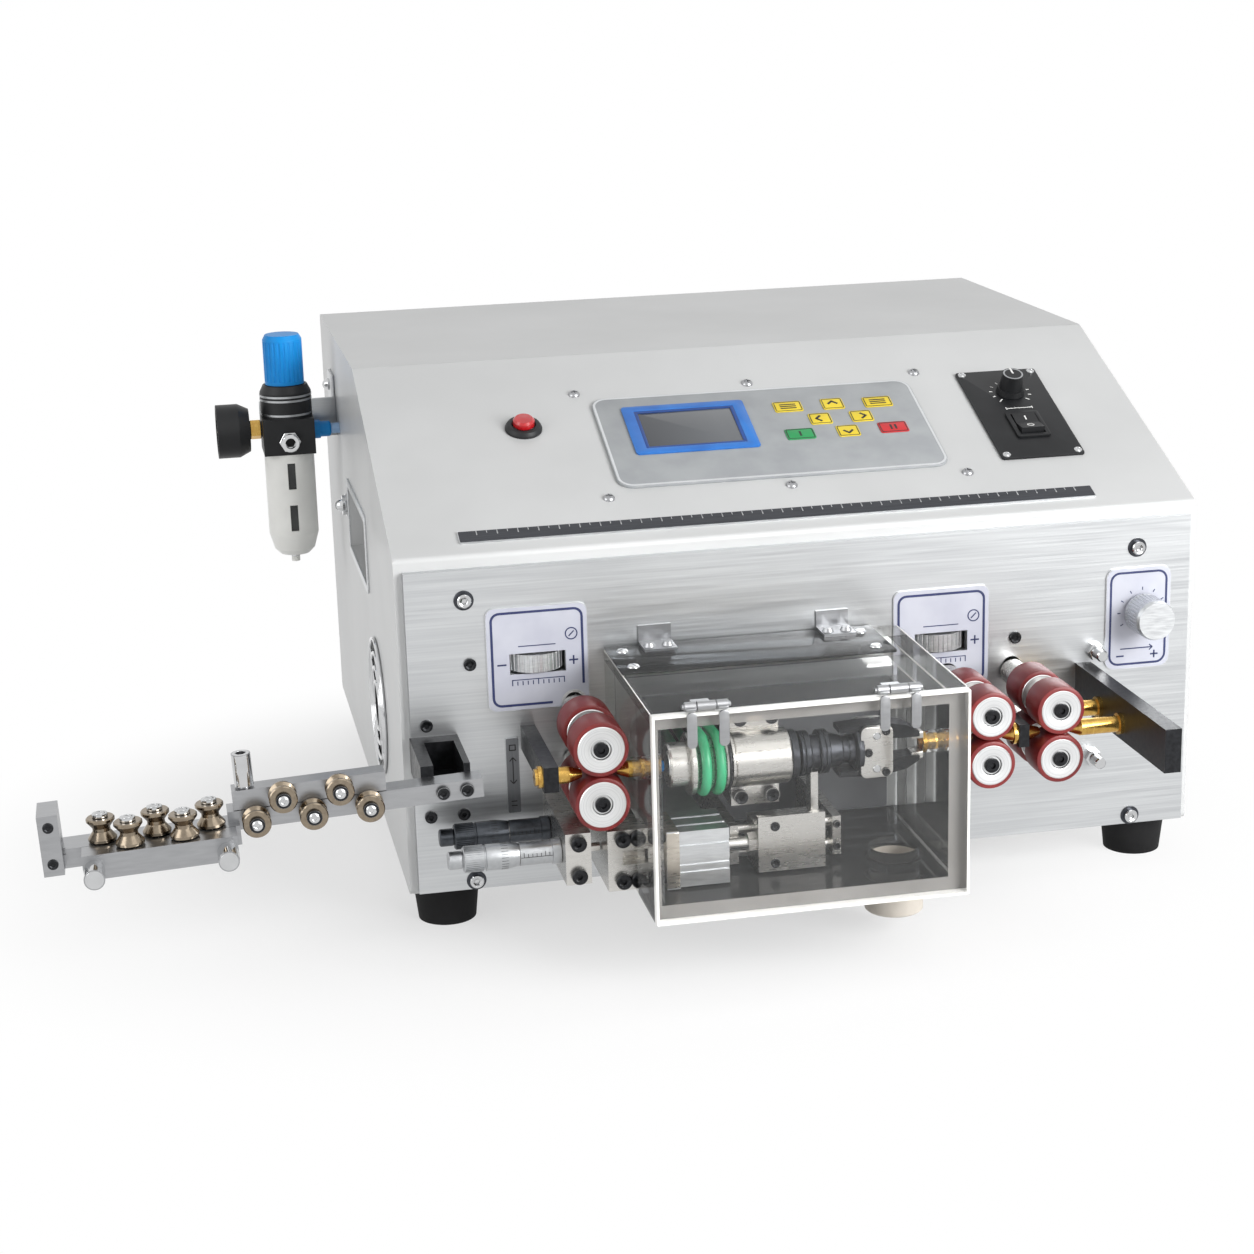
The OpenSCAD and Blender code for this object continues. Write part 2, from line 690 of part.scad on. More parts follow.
module head_rotor() color("dimgray") {
  difference() {
    union() {
      on_head(0) rotate_extrude() polygon([[wire_bore / 2, nose_x], [9.6, nose_x], [10.5, nose_x + 0.9],
        [10.5, flange_x], [14.6, flange_x], [14.6, pulley_x], [pulley_r, pulley_x], [pulley_r, ring_x],
        [spindle_r, ring_x], [spindle_r, shoulder_x], [11.5, shoulder_x], [11.5, shoulder_x + 3.5],
        [sleeve_r, shoulder_x + 3.5], [sleeve_r, hub_x], [11, hub_x], [11, cheek_x],
        [wire_bore / 2, cheek_x]]);
      for (s = [-1, 1])
        block([hub_x, wire_y + s * (jaw_half + gap + 1.75) - 1.75, wire_z - 12],
          [cheek_end - hub_x, 3.5, 24]);
      for (z = [-pivot[1], pivot[1]])
        bar_y([pivot[0], wire_y - jaw_half - 2, wire_z + z], pin_r, 2 * jaw_half + 4);
    }
    for (x = belt_xs)
      belt_groove(x, belt_pitch_r);
    for (s = [-1, 1])
      block([hub_x - 1, wire_y - jaw_half - gap, wire_z + (s > 0 ? 3 : -15)],
        [cheek_x - hub_x + 2, 2 * (jaw_half + gap), 12]);
    for (s = [-1, 1], z = [-9.5, 0, 9.5])
      bar_y([cheek_end - 4, wire_y + s * 11 - 2, wire_z + z], 1.2, 4);
  }
}

module head_housing() color("silver") {
  difference() {
    union() {
      block([housing_x0 + 3, wire_y + 3, wire_z - 24],
        [housing_x1 - housing_x0 - 6, panel_face - wire_y - 3, 48]);
      on_head(0) rotate_extrude() polygon([[0, housing_x0], [housing_r - 0.8, housing_x0],
        [housing_r, housing_x0 + 0.8],
        [housing_r, housing_x0 + 2], [housing_r - 0.6, housing_x0 + 2.4], [housing_r, housing_x0 + 2.8],
        [housing_r, housing_x1 - 0.8], [housing_r - 0.8, housing_x1], [0, housing_x1]]);
    }
    bar_x([housing_x0 - 1, wire_y, wire_z], spindle_r + fit, housing_x1 - housing_x0 + 2);
  }
  for (x = [housing_x0 + 7, housing_x1 - 7], z = [-19, 19])
    translate([x, wire_y + 3, wire_z + z]) rotate([90, 0, 0]) socket_screw(3.4, 4);
}

// Two round belts in one plane each: a wrap on both pulleys and two straight runs
module belt_loop(x) {
  d = motor_pulley_y - wire_y;
  lean = asin((belt_pitch_r - motor_pulley_r) / d);
  run = d * cos(lean);
  translate([x, wire_y, wire_z]) rotate([90, 0, 90]) {
    rotate([0, 0, 90 - lean]) rotate_extrude(angle = 180 + 2 * lean)
      translate([belt_pitch_r, 0]) circle(d = belt_d);
    translate([d, 0, 0]) rotate([0, 0, -90 + lean]) rotate_extrude(angle = 180 - 2 * lean)
      translate([motor_pulley_r, 0]) circle(d = belt_d);
    for (s = [-1, 1])
      rotate([0, 0, s * -lean]) translate([0, s * belt_pitch_r, 0]) rotate([0, 90, 0])
        cylinder(d = belt_d, h = run);
  }
}

module drive_belts() color("seagreen") {
  for (x = belt_xs)
    belt_loop(x);
}

groove_x = [5, 9.5];
collar_len = 14;
collar_out = 10.5;
finger_foot = 8.2;
module clamp_collar() color("slategray") {
  on_head(collar_x) rotate_extrude() polygon([[sleeve_r + fit, 0], [collar_out, 0], [collar_out, groove_x[0]],
    [finger_foot, groove_x[0]], [finger_foot, groove_x[1]], [collar_out, groove_x[1]],
    [collar_out, collar_len],
    [9, collar_len], [7.4, collar_len + 6], [sleeve_r + fit, collar_len + 6]]);
}

// A jaw lever between the head's cheeks: tail over the collar's cone, blade at the tip
module jaw(s) {
  translate([pivot[0], wire_y, wire_z + s * pivot[1]]) mirror([0, 0, s > 0 ? 0 : 1]) difference() {
    union() {
      translate([0, jaw_half, 0]) rotate([90, 0, 0]) linear_extrude(height = 2 * jaw_half)
        polygon([[-17, 1.5], [-17, 4], [-4, 4.6], [6, 4.6], [16, 2.6], [22, -1], [22, -3.4],
          [14, -3.4], [8, -3], [-3, -3], [-5, 1]]);
      translate([18.5, -jaw_half + 1, -4.6]) cube([5.5, 2 * jaw_half - 2, 3]);
    }
    bar_y([0, -jaw_half - 1, 0], pin_r + fit, 2 * jaw_half + 2);
  }
}

module upper_jaw() color([0.2, 0.2, 0.22]) jaw(1);
module lower_jaw() color([0.2, 0.2, 0.22]) jaw(-1);

// Air cylinder, fork slide and its guide rods
cyl_x0 = -91;
cyl_plate = 6;
cyl_x1 = -61.5;
cyl_half = 14;
cyl_y = -74;
cyl_z = foot_h + 39.2;
piston_r = 3;
rod_r = 2.5;
rod_zs = [foot_h + 31.5, foot_h + 42.5];
rod_x0 = -57;
fork_x0 = -46;
fork_l = 32;
fork_y0 = -80;
fork_z0 = foot_h + 26;
fork_h = 22;
finger_w = 3.5;
stop_t = 4;
stop_x = fork_x0 + fork_l + fork_travel + gap;
finger_x = collar_x + (groove_x[0] + groove_x[1]) / 2;

module air_cylinder() color("lightgray") {
  difference() {
    union() {
      block([cyl_x0, cyl_y - cyl_half, cyl_z - cyl_half], [cyl_plate, 2 * cyl_half, 2 * cyl_half]);
      block([cyl_x0 + cyl_plate, cyl_y - cyl_half + 0.6, cyl_z - cyl_half + 0.6],
        [cyl_x1 - cyl_x0 - cyl_plate, 2 * cyl_half - 1.2, 2 * cyl_half - 1.2]);
      block([cyl_x0 + 2, cyl_y + cyl_half - 1, cyl_z - 9],
        [cyl_x1 - cyl_x0 - 6, panel_face - cyl_y - cyl_half + 1, 18]);
    }
    bar_x([cyl_x0 + 10, cyl_y, cyl_z], piston_r + fit, cyl_x1 - cyl_x0);
    for (z = [-6.5, -3, 6.5])
      block([cyl_x0 + cyl_plate, cyl_y - cyl_half, cyl_z + z], [cyl_x1 - cyl_x0, 1.4, 1.6]);
    for (y = [-6, 4])
      block([cyl_x0 + cyl_plate, cyl_y + y, cyl_z + cyl_half - 1.4], [cyl_x1 - cyl_x0, 2, 2]);
  }
}

module slide_frame() color("gray") {
  for (x = [rod_x0, stop_x])
    block([x, fork_y0 + 10, rod_zs[0] - 4], [stop_t, panel_face - fork_y0 - 10, rod_zs[1] - rod_zs[0] + 8]);
  for (z = rod_zs)
    bar_x([rod_x0 + stop_t, wire_y, z], rod_r, stop_x - rod_x0 - stop_t);
  for (z = rod_zs)
    translate([stop_x + stop_t / 2, fork_y0 + 10, z]) rotate([90, 0, 0]) socket_screw(1.6, 1.2);
}

module fork_slide() color("silver") {
  difference() {
    union() {
      block([fork_x0, fork_y0, fork_z0], [fork_l, 3, fork_h + 5]);
      block([fork_x0, fork_y0 + 3, fork_z0], [fork_l, wire_y + 6 - fork_y0 - 3, fork_h]);
      block([finger_x - finger_w / 2, wire_y - 4, fork_z0 + fork_h - 1],
        [finger_w, 8, wire_z - finger_foot - gap - fork_z0 - fork_h + 1]);
      bar_x([cyl_x0 + 14, cyl_y, cyl_z], piston_r, fork_x0 - cyl_x0 - 13);
      translate([fork_x0 - 4, cyl_y, cyl_z]) rotate([0, 90, 0]) cylinder(r = 5, h = 4.5, $fn = 6);
    }
    for (z = rod_zs)
      bar_x([fork_x0 - 1, wire_y, z], rod_r + fit, fork_l + 2);
  }
}

// Micrometer stops that set the cutting depth
micro_ys = [-52, -21];
micro_z = foot_h + 36;
micro_block_x = -134;
micro_block_t = 12;
stop_block_x = -115;
stop_block_l = 19;
stop_block_h = 29.5;
stop_front = -70;
micro_front = -66;
cap_r = 3;
cap_t = 3;
spindle_pin_r = 2;
sleeve_out = 4.4;
thimble_r = 6.2;
thimble_x = -180;
thimble_l = 26;
sleeve_x = -166;

module micrometer_stand() color("silver") {
  difference() {
    union() {
      block([micro_block_x, micro_front, micro_z - 12.5], [micro_block_t, panel_face - micro_front, 25]);
      for (y = micro_ys)
        bar_x([sleeve_x, y, micro_z], sleeve_out, micro_block_x - sleeve_x + 1);
    }
    for (y = micro_ys)
      bar_x([sleeve_x - 1, y, micro_z], spindle_pin_r + fit, micro_block_t - sleeve_x + micro_block_x + 3);
  }
  difference() {
    block([stop_block_x, stop_front, foot_h + 20], [stop_block_l, panel_face - stop_front, stop_block_h]);
    block([stop_block_x + 7, stop_front - 1, micro_z - 3.5], [stop_block_l, 9, 7]);
  }
  for (x = [stop_block_x + 7, stop_block_x + 14], z = [micro_z - 11, micro_z + 9.5])
    translate([x, stop_front, z]) rotate([90, 0, 0]) socket_screw(cap_r, cap_t);
  for (z = [micro_z - 8, micro_z + 8])
    translate([micro_block_x + micro_block_t / 2, micro_front, z]) rotate([90, 0, 0])
      socket_screw(cap_r, cap_t);
}

module thimble(y) {
  difference() {
    union() {
      translate([thimble_x, y, micro_z]) rotate([0, 90, 0])
        rotate_extrude() polygon([[0, -7], [3.6, -7], [4.2, -6.4],
        [4.2, 0], [thimble_r, 0], [thimble_r, thimble_l - 5], [sleeve_out + 0.9, thimble_l], [0, thimble_l]]);
    }
    bar_x([sleeve_x - gap, y, micro_z], sleeve_out + gap, 40);
    for (i = [0 : 23])
      translate([thimble_x + 1, y, micro_z]) rotate([i * 15, 0, 0]) translate([0, 0, thimble_r + 0.2])
        rotate([0, 90, 0]) cylinder(r = 0.5, h = 9, $fn = 13);
  }
  bar_x([sleeve_x - 2, y, micro_z], spindle_pin_r, stop_block_x - gap - sleeve_x + 2);
}

module front_thimble() color("gainsboro") thimble(micro_ys[0]);
module rear_thimble() color("gray") thimble(micro_ys[1]);

// Clear cover over the head: four walls, a strip on its roof, and a scrap spout below
cover_back = panel_face - scale_t - gap;
strip_w = 132;
strip_d = 44;
strip_t = 1.5;
spout_at = [26, -58];
spout_r = 14;
spout_wall = 2;
spout_drop = 27;
notch_y = stop_front - cap_t - 1.5;
notch_h = 38;

module cover_walls() color("lightcyan", 0.4) {
  difference() {
    block([cover_x0, cover_front, cover_z0], [cover_w, cover_back - cover_front, cover_h]);
    block([cover_x0 + acrylic_t, cover_front - 1, cover_z0 + acrylic_t],
      [cover_w - 2 * acrylic_t, cover_back - cover_front + 2, cover_h - 2 * acrylic_t]);
    block([cover_x0 - 1, notch_y, cover_z0 - 1], [acrylic_t + 2, cover_back - notch_y + 1, notch_h]);
    bar_x([cover_x0 - 1, wire_y, wire_z], nozzle_r + 1.6, acrylic_t + 2);
    bar_x([cover_x1 - acrylic_t - 1, wire_y, wire_z], nozzle_r, acrylic_t + 2);
    translate([spout_at[0], spout_at[1], cover_z0 - 1]) cylinder(r = spout_r - spout_wall, h = acrylic_t + 2);
  }
  block([cover_x0, cover_back - strip_d, cover_top], [strip_w, strip_d, strip_t]);
  translate([spout_at[0], spout_at[1], cover_z0 - spout_drop]) difference() {
    cylinder(r = spout_r, h = spout_drop);
    translate([0, 0, -1]) cylinder(r = spout_r - spout_wall, h = spout_drop + 2);
  }
}

hinge_pin_r = 1.1;
hinge_half = 10;
knuckle = 5.5;
rear_hinge_xs = [cover_x0 + 25, cover_x0 + 113];

module hinge_pair(x) {
  difference() {
    bar_x([x - hinge_half + knuckle + gap, hinge_y, hinge_z], hinge_r, 2 * (hinge_half - knuckle - gap));
    bar_x([x - hinge_half, hinge_y, hinge_z], hinge_pin_r, 2 * hinge_half);
  }
  bar_x([x - hinge_half - 1, hinge_y, hinge_z], hinge_pin_r, 2 * hinge_half + 2);
  leaf_w = 2 * (hinge_half - knuckle - gap);
  block([x - leaf_w / 2, cover_front, cover_top], [leaf_w, 12, leaf_t]);
  block([x - leaf_w / 2, hinge_y, cover_top + gap], [leaf_w, cover_front - hinge_y + 1, leaf_t - gap]);
}

module cover_hinges() color("gainsboro") {
  for (x = hinge_xs)
    hinge_pair(x);
  for (x = rear_hinge_xs) {
    block([x - 8, panel_face - 16, cover_top + strip_t], [16, 16, leaf_t]);
    block([x - 8, panel_face - leaf_t, cover_top + strip_t], [16, leaf_t, 9]);
    for (s = [-4.5, 4.5])
      translate([x + s, panel_face - 10, cover_top + strip_t + leaf_t]) cylinder(r1 = 3, r2 = 2, h = 1.8);
  }
}

door_y0 = cover_front - gap - door_t;
module cover_door() color("lightcyan", 0.4) {
  block([cover_x0, door_y0, cover_z0], [cover_w, door_t, cover_h]);
  for (x = hinge_xs, s = [-1, 1])
    translate([x + s * (hinge_half - knuckle / 2), 0, 0]) difference() {
      union() {
        bar_x([-knuckle / 2, hinge_y, hinge_z], hinge_r, knuckle);
        block([-knuckle / 2, door_y0 - leaf_t, cover_top - 16], [knuckle, leaf_t, hinge_z - cover_top + 16]);
        block([-knuckle / 2, door_y0 - leaf_t, hinge_z - 0.6], [knuckle, hinge_y - door_y0, leaf_t]);
      }
      bar_x([-knuckle, hinge_y, hinge_z], hinge_pin_r + fit, 2 * knuckle);
    }
}

// Wire straightener, in the arm's own frame: X along the arm, Z = 0 on the wire line
guide_w = 8.6;
guide_h = 11;
guide_off = groove_r + 0.9;
guide_pin_r = 2.2;
arm_front = guide_w / 2 + gap;
arm_rear = arm_back - wire_y;
top_z = -0.4;
side_top = -guide_h / 2 - gap;
// The layout along the arm is drawn for a reach of 178 and follows it
arm_k = arm_reach / 178;
guide_pitch = 25.5 * arm_k;
side_pitch = 24 * arm_k;
side_first = -151.5 * arm_k;
top_first = -83.5 * arm_k;
top_bar_x0 = -96 * arm_k;
side_bar_l = 86 * arm_k;
root_l = 20;
side_split = 0.2;
adjuster_t = 12.3;
head_r = 3.4;
head_t = 1.4;

module on_arm() {
  translate([arm_x, wire_y, wire_z]) rotate([0, -arm_tilt, 0]) children();
}

// Axle pins with a flat head, for rollers that turn about Y or about Z
module axle_y(x, z) {
  bar_y([x, -guide_w / 2 - gap, z], guide_pin_r, arm_front + guide_w / 2 + gap + 1);
  bar_y([x, -guide_w / 2 - gap - head_t, z], head_r, head_t);
}

module axle_z(x, y) {
  translate([x, y, side_top - 1]) cylinder(r = guide_pin_r, h = guide_h + 2 * gap + 1);
  translate([x, y, guide_h / 2 + gap]) cylinder(r = head_r, h = head_t);
}

second_hole = 6.5;
module straightener_bar() color("silver") {
  on_arm() {
    difference() {
      union() {
        block([top_bar_x0, arm_front, top_z - arm_bar_h],
          [root_l - top_bar_x0, arm_rear - arm_front, arm_bar_h]);
        block([1 - arm_reach, side_split, side_top - arm_bar_h],
          [side_bar_l, arm_rear - side_split, arm_bar_h]);
        block([-arm_reach, -end_block_w / 2, -end_block_h / 2], [end_block_t, end_block_w, end_block_h]);
      }
      for (z = [0, -second_hole])
        bar_x([-arm_reach - 1, 0, z], wire_bore / 2, end_block_t + 2);
    }
    for (i = [0 : 2]) {
      axle_y(top_first + i * guide_pitch, -guide_off);
      axle_z(side_first + i * side_pitch, guide_off);
    }
    for (x = [1.5, 12.5])
      translate([x, arm_front, top_z - arm_bar_h / 2]) rotate([90, 0, 0]) socket_screw(3, 2);
  }
}

top_l = 69 * arm_k;
top_x0 = -93 * arm_k;
module top_adjuster() color("silver") {
  on_arm() {
    block([top_x0, arm_front, 0], [top_l, 10, arm_bar_h]);
    for (i = [0, 1])
      axle_y(top_first + (i + 0.5) * guide_pitch, guide_off);
    translate([top_x0 + 6, arm_front + 5, arm_bar_h - 1]) cylinder(r = 2.6, h = 3);
    translate([top_x0 + 6, arm_front + 5, arm_bar_h + 1]) difference() {
      cylinder(r = 4.3, h = 15);
      translate([0, 0, 12]) cylinder(r = 2.4, h = 4, $fn = 6);
    }
  }
}

side_l = 68 * arm_k;
side_h = 11.5;
side_x0 = -161 * arm_k;
post_l = 13;
module side_adjuster() color("silver") {
  on_arm() {
    block([side_x0, side_split - gap - adjuster_t, side_top - side_h], [side_l, adjuster_t, side_h]);
    for (i = [0, 1])
      axle_z(side_first + (i + 0.5) * side_pitch, -guide_off);
    for (x = [side_x0 + 4.9, side_x0 + side_l - 4.9])
      bar_y([x, side_split - gap - adjuster_t - post_l, side_top - side_h / 2 - 1], 4.6, post_l + 1);
  }
}

// A grooved roller on its own axis, waisted in the middle
module guide_roller(h) {
  rotate_extrude() polygon([[guide_pin_r + fit, -h / 2], [guide_r - 0.5, -h / 2], [guide_r, -h / 2 + 0.5],
    [guide_r, -h / 2 + 1.6], [groove_r, -0.8], [groove_r, 0.8], [guide_r, h / 2 - 1.6],
    [guide_r, h / 2 - 0.5], [guide_r - 0.5, h / 2], [guide_pin_r + fit, h / 2]]);
}

module side_guide(n, y) color([0.6, 0.52, 0.42]) {
  on_arm() translate([side_first + n * side_pitch, y, 0]) guide_roller(guide_h);
}

module top_guide(n, z) color([0.6, 0.52, 0.42]) {
  on_arm() translate([top_first + n * guide_pitch, 0, z]) rotate([90, 0, 0]) guide_roller(guide_w);
}

module side_guide_1() side_guide(0, guide_off);
module side_guide_2() side_guide(0.5, -guide_off);
module side_guide_3() side_guide(1, guide_off);
module side_guide_4() side_guide(1.5, -guide_off);
module side_guide_5() side_guide(2, guide_off);
module top_guide_1() top_guide(0, -guide_off);
module top_guide_2() top_guide(0.5, guide_off);
module top_guide_3() top_guide(1, -guide_off);
module top_guide_4() top_guide(1.5, guide_off);
module top_guide_5() top_guide(2, -guide_off);

// Filter regulator on the left side wall
reg_half = regulator_w / 2;
bonnet_h = 18;
bowl_l = 59;
reg_top = 9;
reg_low = -11;
reg_pin_r = 4;
port_z = -3;

module at_regulator() {
  translate([reg_x, reg_y, reg_z]) children();
}

module regulator_body() color([0.1, 0.1, 0.11]) at_regulator() {
  difference() {
    union() {
      block([-reg_half, -reg_half, reg_low], [regulator_w, regulator_w, reg_top - reg_low]);
      translate([0, 0, reg_top]) rotate_extrude() polygon([[0, 0], [reg_half, 0], [reg_half, bonnet_h - 4],
        [reg_half - 2, bonnet_h], [0, bonnet_h]]);
    }
    translate([0, 0, reg_top + 2]) cylinder(r = reg_pin_r + fit, h = bonnet_h);
  }
  bar_x([-reg_half - 7, 0, 2], 4.5, 7);
  translate([-reg_half - 7 - 18, 0, 2]) rotate([0, 90, 0]) rotate_extrude()
    polygon([[0, 1.5], [gauge_d / 2 - 2.5, 1.5], [gauge_d / 2 - 2.5, 0], [gauge_d / 2, 0],
      [gauge_d / 2, 12], [gauge_d / 2 - 3, 18], [0, 18]]);
}

module regulator_knob() color("dodgerblue") at_regulator() {
  translate([0, 0, reg_top + 4]) cylinder(r = reg_pin_r, h = bonnet_h);
  translate([0, 0, reg_top + bonnet_h + gap]) difference() {
    union() {
      cylinder(r = 10.9, h = 25);
      translate([0, 0, 25]) cylinder(r1 = 10.9, r2 = 9.4, h = 2.6);
    }
    for (i = [0 : 23])
      rotate([0, 0, i * 15]) translate([11.3, 0, 2]) cylinder(r = 0.9, h = 22, $fn = 13);
  }
}

module bowl_guard() color("ivory") at_regulator() translate([0, 0, reg_low]) {
  difference() {
    rotate_extrude() polygon([[0, 0], [reg_half - 0.4, 0], [reg_half - 0.4, -bowl_l + 12],
      [reg_half - 3, -bowl_l + 3],
      [reg_half - 6, -bowl_l], [0, -bowl_l]]);
    for (z = [-20, -44])
      translate([-2.2, -reg_half - 1, z]) cube([4.4, 3, 15]);
  }
  translate([0, 0, -bowl_l - 5]) cylinder(r = 2.4, h = 5);
}

module regulator_fittings() color("royalblue") at_regulator() {
  bar_x([reg_half, 0, 0], 5.2, 4);
  bar_x([reg_half + 4, 0, 0], 4.4, 6);
  bar_x([reg_half + 10, 0, 0], 3, -wall_x - reg_x - reg_half - 10 + 6);
  translate([0, -reg_half - 8, port_z]) rotate([-90, 0, 0]) difference() {
    union() {
      cylinder(r = 5, h = 8);
      translate([0, 0, 4]) cylinder(r = 6, h = 4, $fn = 6);
    }
    translate([0, 0, -1]) cylinder(r = 3, h = 7);
  }
  block([-reg_half, reg_half, reg_low + 4], [-wall_x - reg_x + reg_half, 2, 22]);
  block([-wall_x - reg_x - 2, reg_half + 2, reg_low + 4], [2, 24, 34]);
  for (z = [0, 20])
    bar_x([-wall_x - reg_x - 6, reg_half + 15, z], 3.4, 4);
}

// Cooling fan behind a wire guard on the left side wall
fan_frame = 72;
fan_depth = 14;
fan_pin_r = 2;
guard_wire = 1;
guard_rs = [35, 27.5, 20, 12.5];
guard_rod = 1.4;
fan_hub_r = 11;
fan_hub_t = 2.6;
fan_strut = [1.6, 4];

module cooling_fan() color("dimgray") {
  x0 = -casing_inner_x;
  hub_x = x0 + fan_depth - fan_hub_t;
  difference() {
    block([x0, fan_y - fan_frame / 2, fan_z - fan_frame / 2], [fan_depth, fan_frame, fan_frame]);
    bar_x([x0 - 1, fan_y, fan_z], fan_r - 1, fan_depth + 2);
  }
  bar_x([hub_x, fan_y, fan_z], fan_hub_r, fan_hub_t);
  for (a = [45 : 90 : 359])
    translate([hub_x + 0.5, fan_y, fan_z]) rotate([a, 0, 0])
      block([0, -fan_strut[1] / 2, fan_hub_r - 2], [fan_strut[0], fan_strut[1], fan_r - fan_hub_r + 3]);
  bar_x([x0 + 3, fan_y, fan_z], fan_pin_r, fan_depth - 4);
  translate([-wall_x - 2 * guard_wire, fan_y, fan_z]) rotate([0, 90, 0]) {
    for (r = guard_rs)
      difference() {
        cylinder(r = r + guard_wire, h = 2 * guard_wire);
        translate([0, 0, -1]) cylinder(r = r - guard_wire, h = 2 * guard_wire + 2);
      }
    for (a = [45 : 90 : 359])
      rotate([0, 0, a])
        block([guard_rs[3], -guard_rod / 2, guard_wire - guard_rod / 2],
          [guard_rs[0] - guard_rs[3], guard_rod, guard_rod]);
  }
}

blade_count = 7;
module fan_rotor() color([0.15, 0.15, 0.15]) {
  translate([-casing_inner_x + 1.5, fan_y, fan_z]) rotate([0, 90, 0]) difference() {
    union() {
      cylinder(r = 11, h = fan_depth - 4.5);
      for (i = [0 : blade_count - 1])
        rotate([0, 0, i * 360 / blade_count]) translate([10, 0, 4.5]) rotate([40, 0, 0])
          translate([0, -6, -0.6]) cube([fan_r - 12.5, 12, 1.2]);
    }
    translate([0, 0, 1.2]) cylinder(r = fan_pin_r + fit, h = fan_depth);
  }
}

// Motors, control board and supply inside the closed casing
head_motor_l = 46;
motor_half = 21;
motor_y = 34;
motor_l = 44;
module motor_foot(x, y, z, l) {
  block([x - motor_half, y, z - motor_half], [2 * motor_half, l, 2 * motor_half]);
  block([x - motor_half, y + 6, foot_h + base_t], [2 * motor_half, 6, z - motor_half - foot_h - base_t + 1]);
}

module drive_motors() color([0.16, 0.16, 0.17]) {
  motor_foot(left_x, motor_y, wire_z - left_half, motor_l);
  motor_foot(out_a_x, motor_y, wire_z - right_half, motor_l);
  block([belt_xs[1] + 5, motor_pulley_y - motor_half, wire_z - motor_half],
    [head_motor_l, 2 * motor_half, 2 * motor_half]);
  block([belt_xs[1] + 5, motor_pulley_y - motor_half, foot_h + base_t],
    [6, 2 * motor_half, wire_z - motor_half - foot_h - base_t]);
  difference() {
    bar_x([pulley_x, motor_pulley_y, wire_z], motor_pulley_r, belt_xs[1] + 5 - pulley_x);
    for (x = belt_xs)
      translate([x, motor_pulley_y, wire_z]) rotate([0, 90, 0]) rotate_extrude()
        translate([motor_pulley_r, 0]) circle(r = belt_d / 2 + gap);
  }
}

supply_at = [0, body_d - 190];
supply_size = [160, 90, 45];
board_at = [-120, body_d - 170];
board_size = [90, 70, 2];
relay_size = [12, 30, 16];
relay_pitch = 20;
module control_unit() color("darkgreen") {
  floor_z = foot_h + base_t;
  block([supply_at[0], supply_at[1], floor_z], supply_size);
  block([board_at[0], board_at[1], floor_z], board_size);
  for (i = [0 : 3])
    block([board_at[0] + 8 + i * relay_pitch, board_at[1] + 10, floor_z + board_size[2]], relay_size);
  translate([inlet_at[0] - inlet_w / 2, body_d - 24, inlet_at[1] - inlet_h / 2]) difference() {
    cube([inlet_w, 24, inlet_h]);
    translate([3, 8, 3]) cube([inlet_w - 6, 20, inlet_h - 6]);
  }
  for (x = [-7, 0, 7])
    block([inlet_at[0] + x - 1, body_d - 17, inlet_at[1] - 2], [2, 12, 4]);
}

place() base_plate();
place() housing_shell();
place() front_panel();
place() rubber_feet();
place() panel_screws();
place() console_plates();
place() scale_plates();
place() guide_holders();
place() guide_nozzles();
place() head_housing();
place() drive_belts();
place() air_cylinder();
place() slide_frame();
place() micrometer_stand();
place() cover_walls();
place() cover_hinges();
place() straightener_bar();
place() regulator_body();
place() bowl_guard();
place() regulator_fittings();
place() cooling_fan();
place() drive_frames();
place() drive_motors();
place() control_unit();
place() cover_door();
place() left_carriage();
place() right_carriage();
place() left_upper_roller();
place() left_lower_roller();
place() first_upper_roller();
place() first_lower_roller();
place() second_upper_roller();
place() second_lower_roller();
place() push_button();
place() speed_knob();
place() rocker_switch();
place() pressure_knob();
place() left_thumbwheel();
place() right_thumbwheel();
place() front_thimble();
place() rear_thimble();
place() head_rotor();
place() clamp_collar();
place() upper_jaw();
place() lower_jaw();
place() fork_slide();
place() side_adjuster();
place() top_adjuster();
place() side_guide_1();
place() side_guide_2();
place() side_guide_3();
place() side_guide_4();
place() side_guide_5();
place() top_guide_1();
place() top_guide_2();
place() top_guide_3();
place() top_guide_4();
place() top_guide_5();
place() regulator_knob();
place() fan_rotor();
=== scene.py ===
# %% [markdown]
# # A bench wire cutting and stripping machine
# The imported model is the skeleton of this lesson: each of its nodes already has its true size and place. We
# load it first. Nothing that we add may make the machine bigger than it is.

# %% Load the frame
import math

import bpy
from mathutils import Matrix, Vector


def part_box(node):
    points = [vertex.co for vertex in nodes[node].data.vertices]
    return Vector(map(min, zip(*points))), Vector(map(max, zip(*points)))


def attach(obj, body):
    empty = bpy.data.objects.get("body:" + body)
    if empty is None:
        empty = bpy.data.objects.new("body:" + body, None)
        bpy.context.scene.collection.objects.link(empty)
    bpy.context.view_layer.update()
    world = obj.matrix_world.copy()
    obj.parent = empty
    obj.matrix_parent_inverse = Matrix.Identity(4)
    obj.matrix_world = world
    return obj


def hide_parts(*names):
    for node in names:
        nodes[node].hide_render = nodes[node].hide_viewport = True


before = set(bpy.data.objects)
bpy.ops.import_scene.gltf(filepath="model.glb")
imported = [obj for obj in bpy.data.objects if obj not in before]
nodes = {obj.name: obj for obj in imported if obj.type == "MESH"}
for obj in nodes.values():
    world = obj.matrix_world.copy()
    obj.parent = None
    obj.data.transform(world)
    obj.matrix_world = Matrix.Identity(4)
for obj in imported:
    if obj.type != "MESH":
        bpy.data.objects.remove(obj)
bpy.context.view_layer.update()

# %% [markdown]
# Machine drawings measure from the middle of the casing, from the front lip and from the floor. We read
# that origin off the casing's own box, so that every later place can be written in the drawing's
# millimetres.

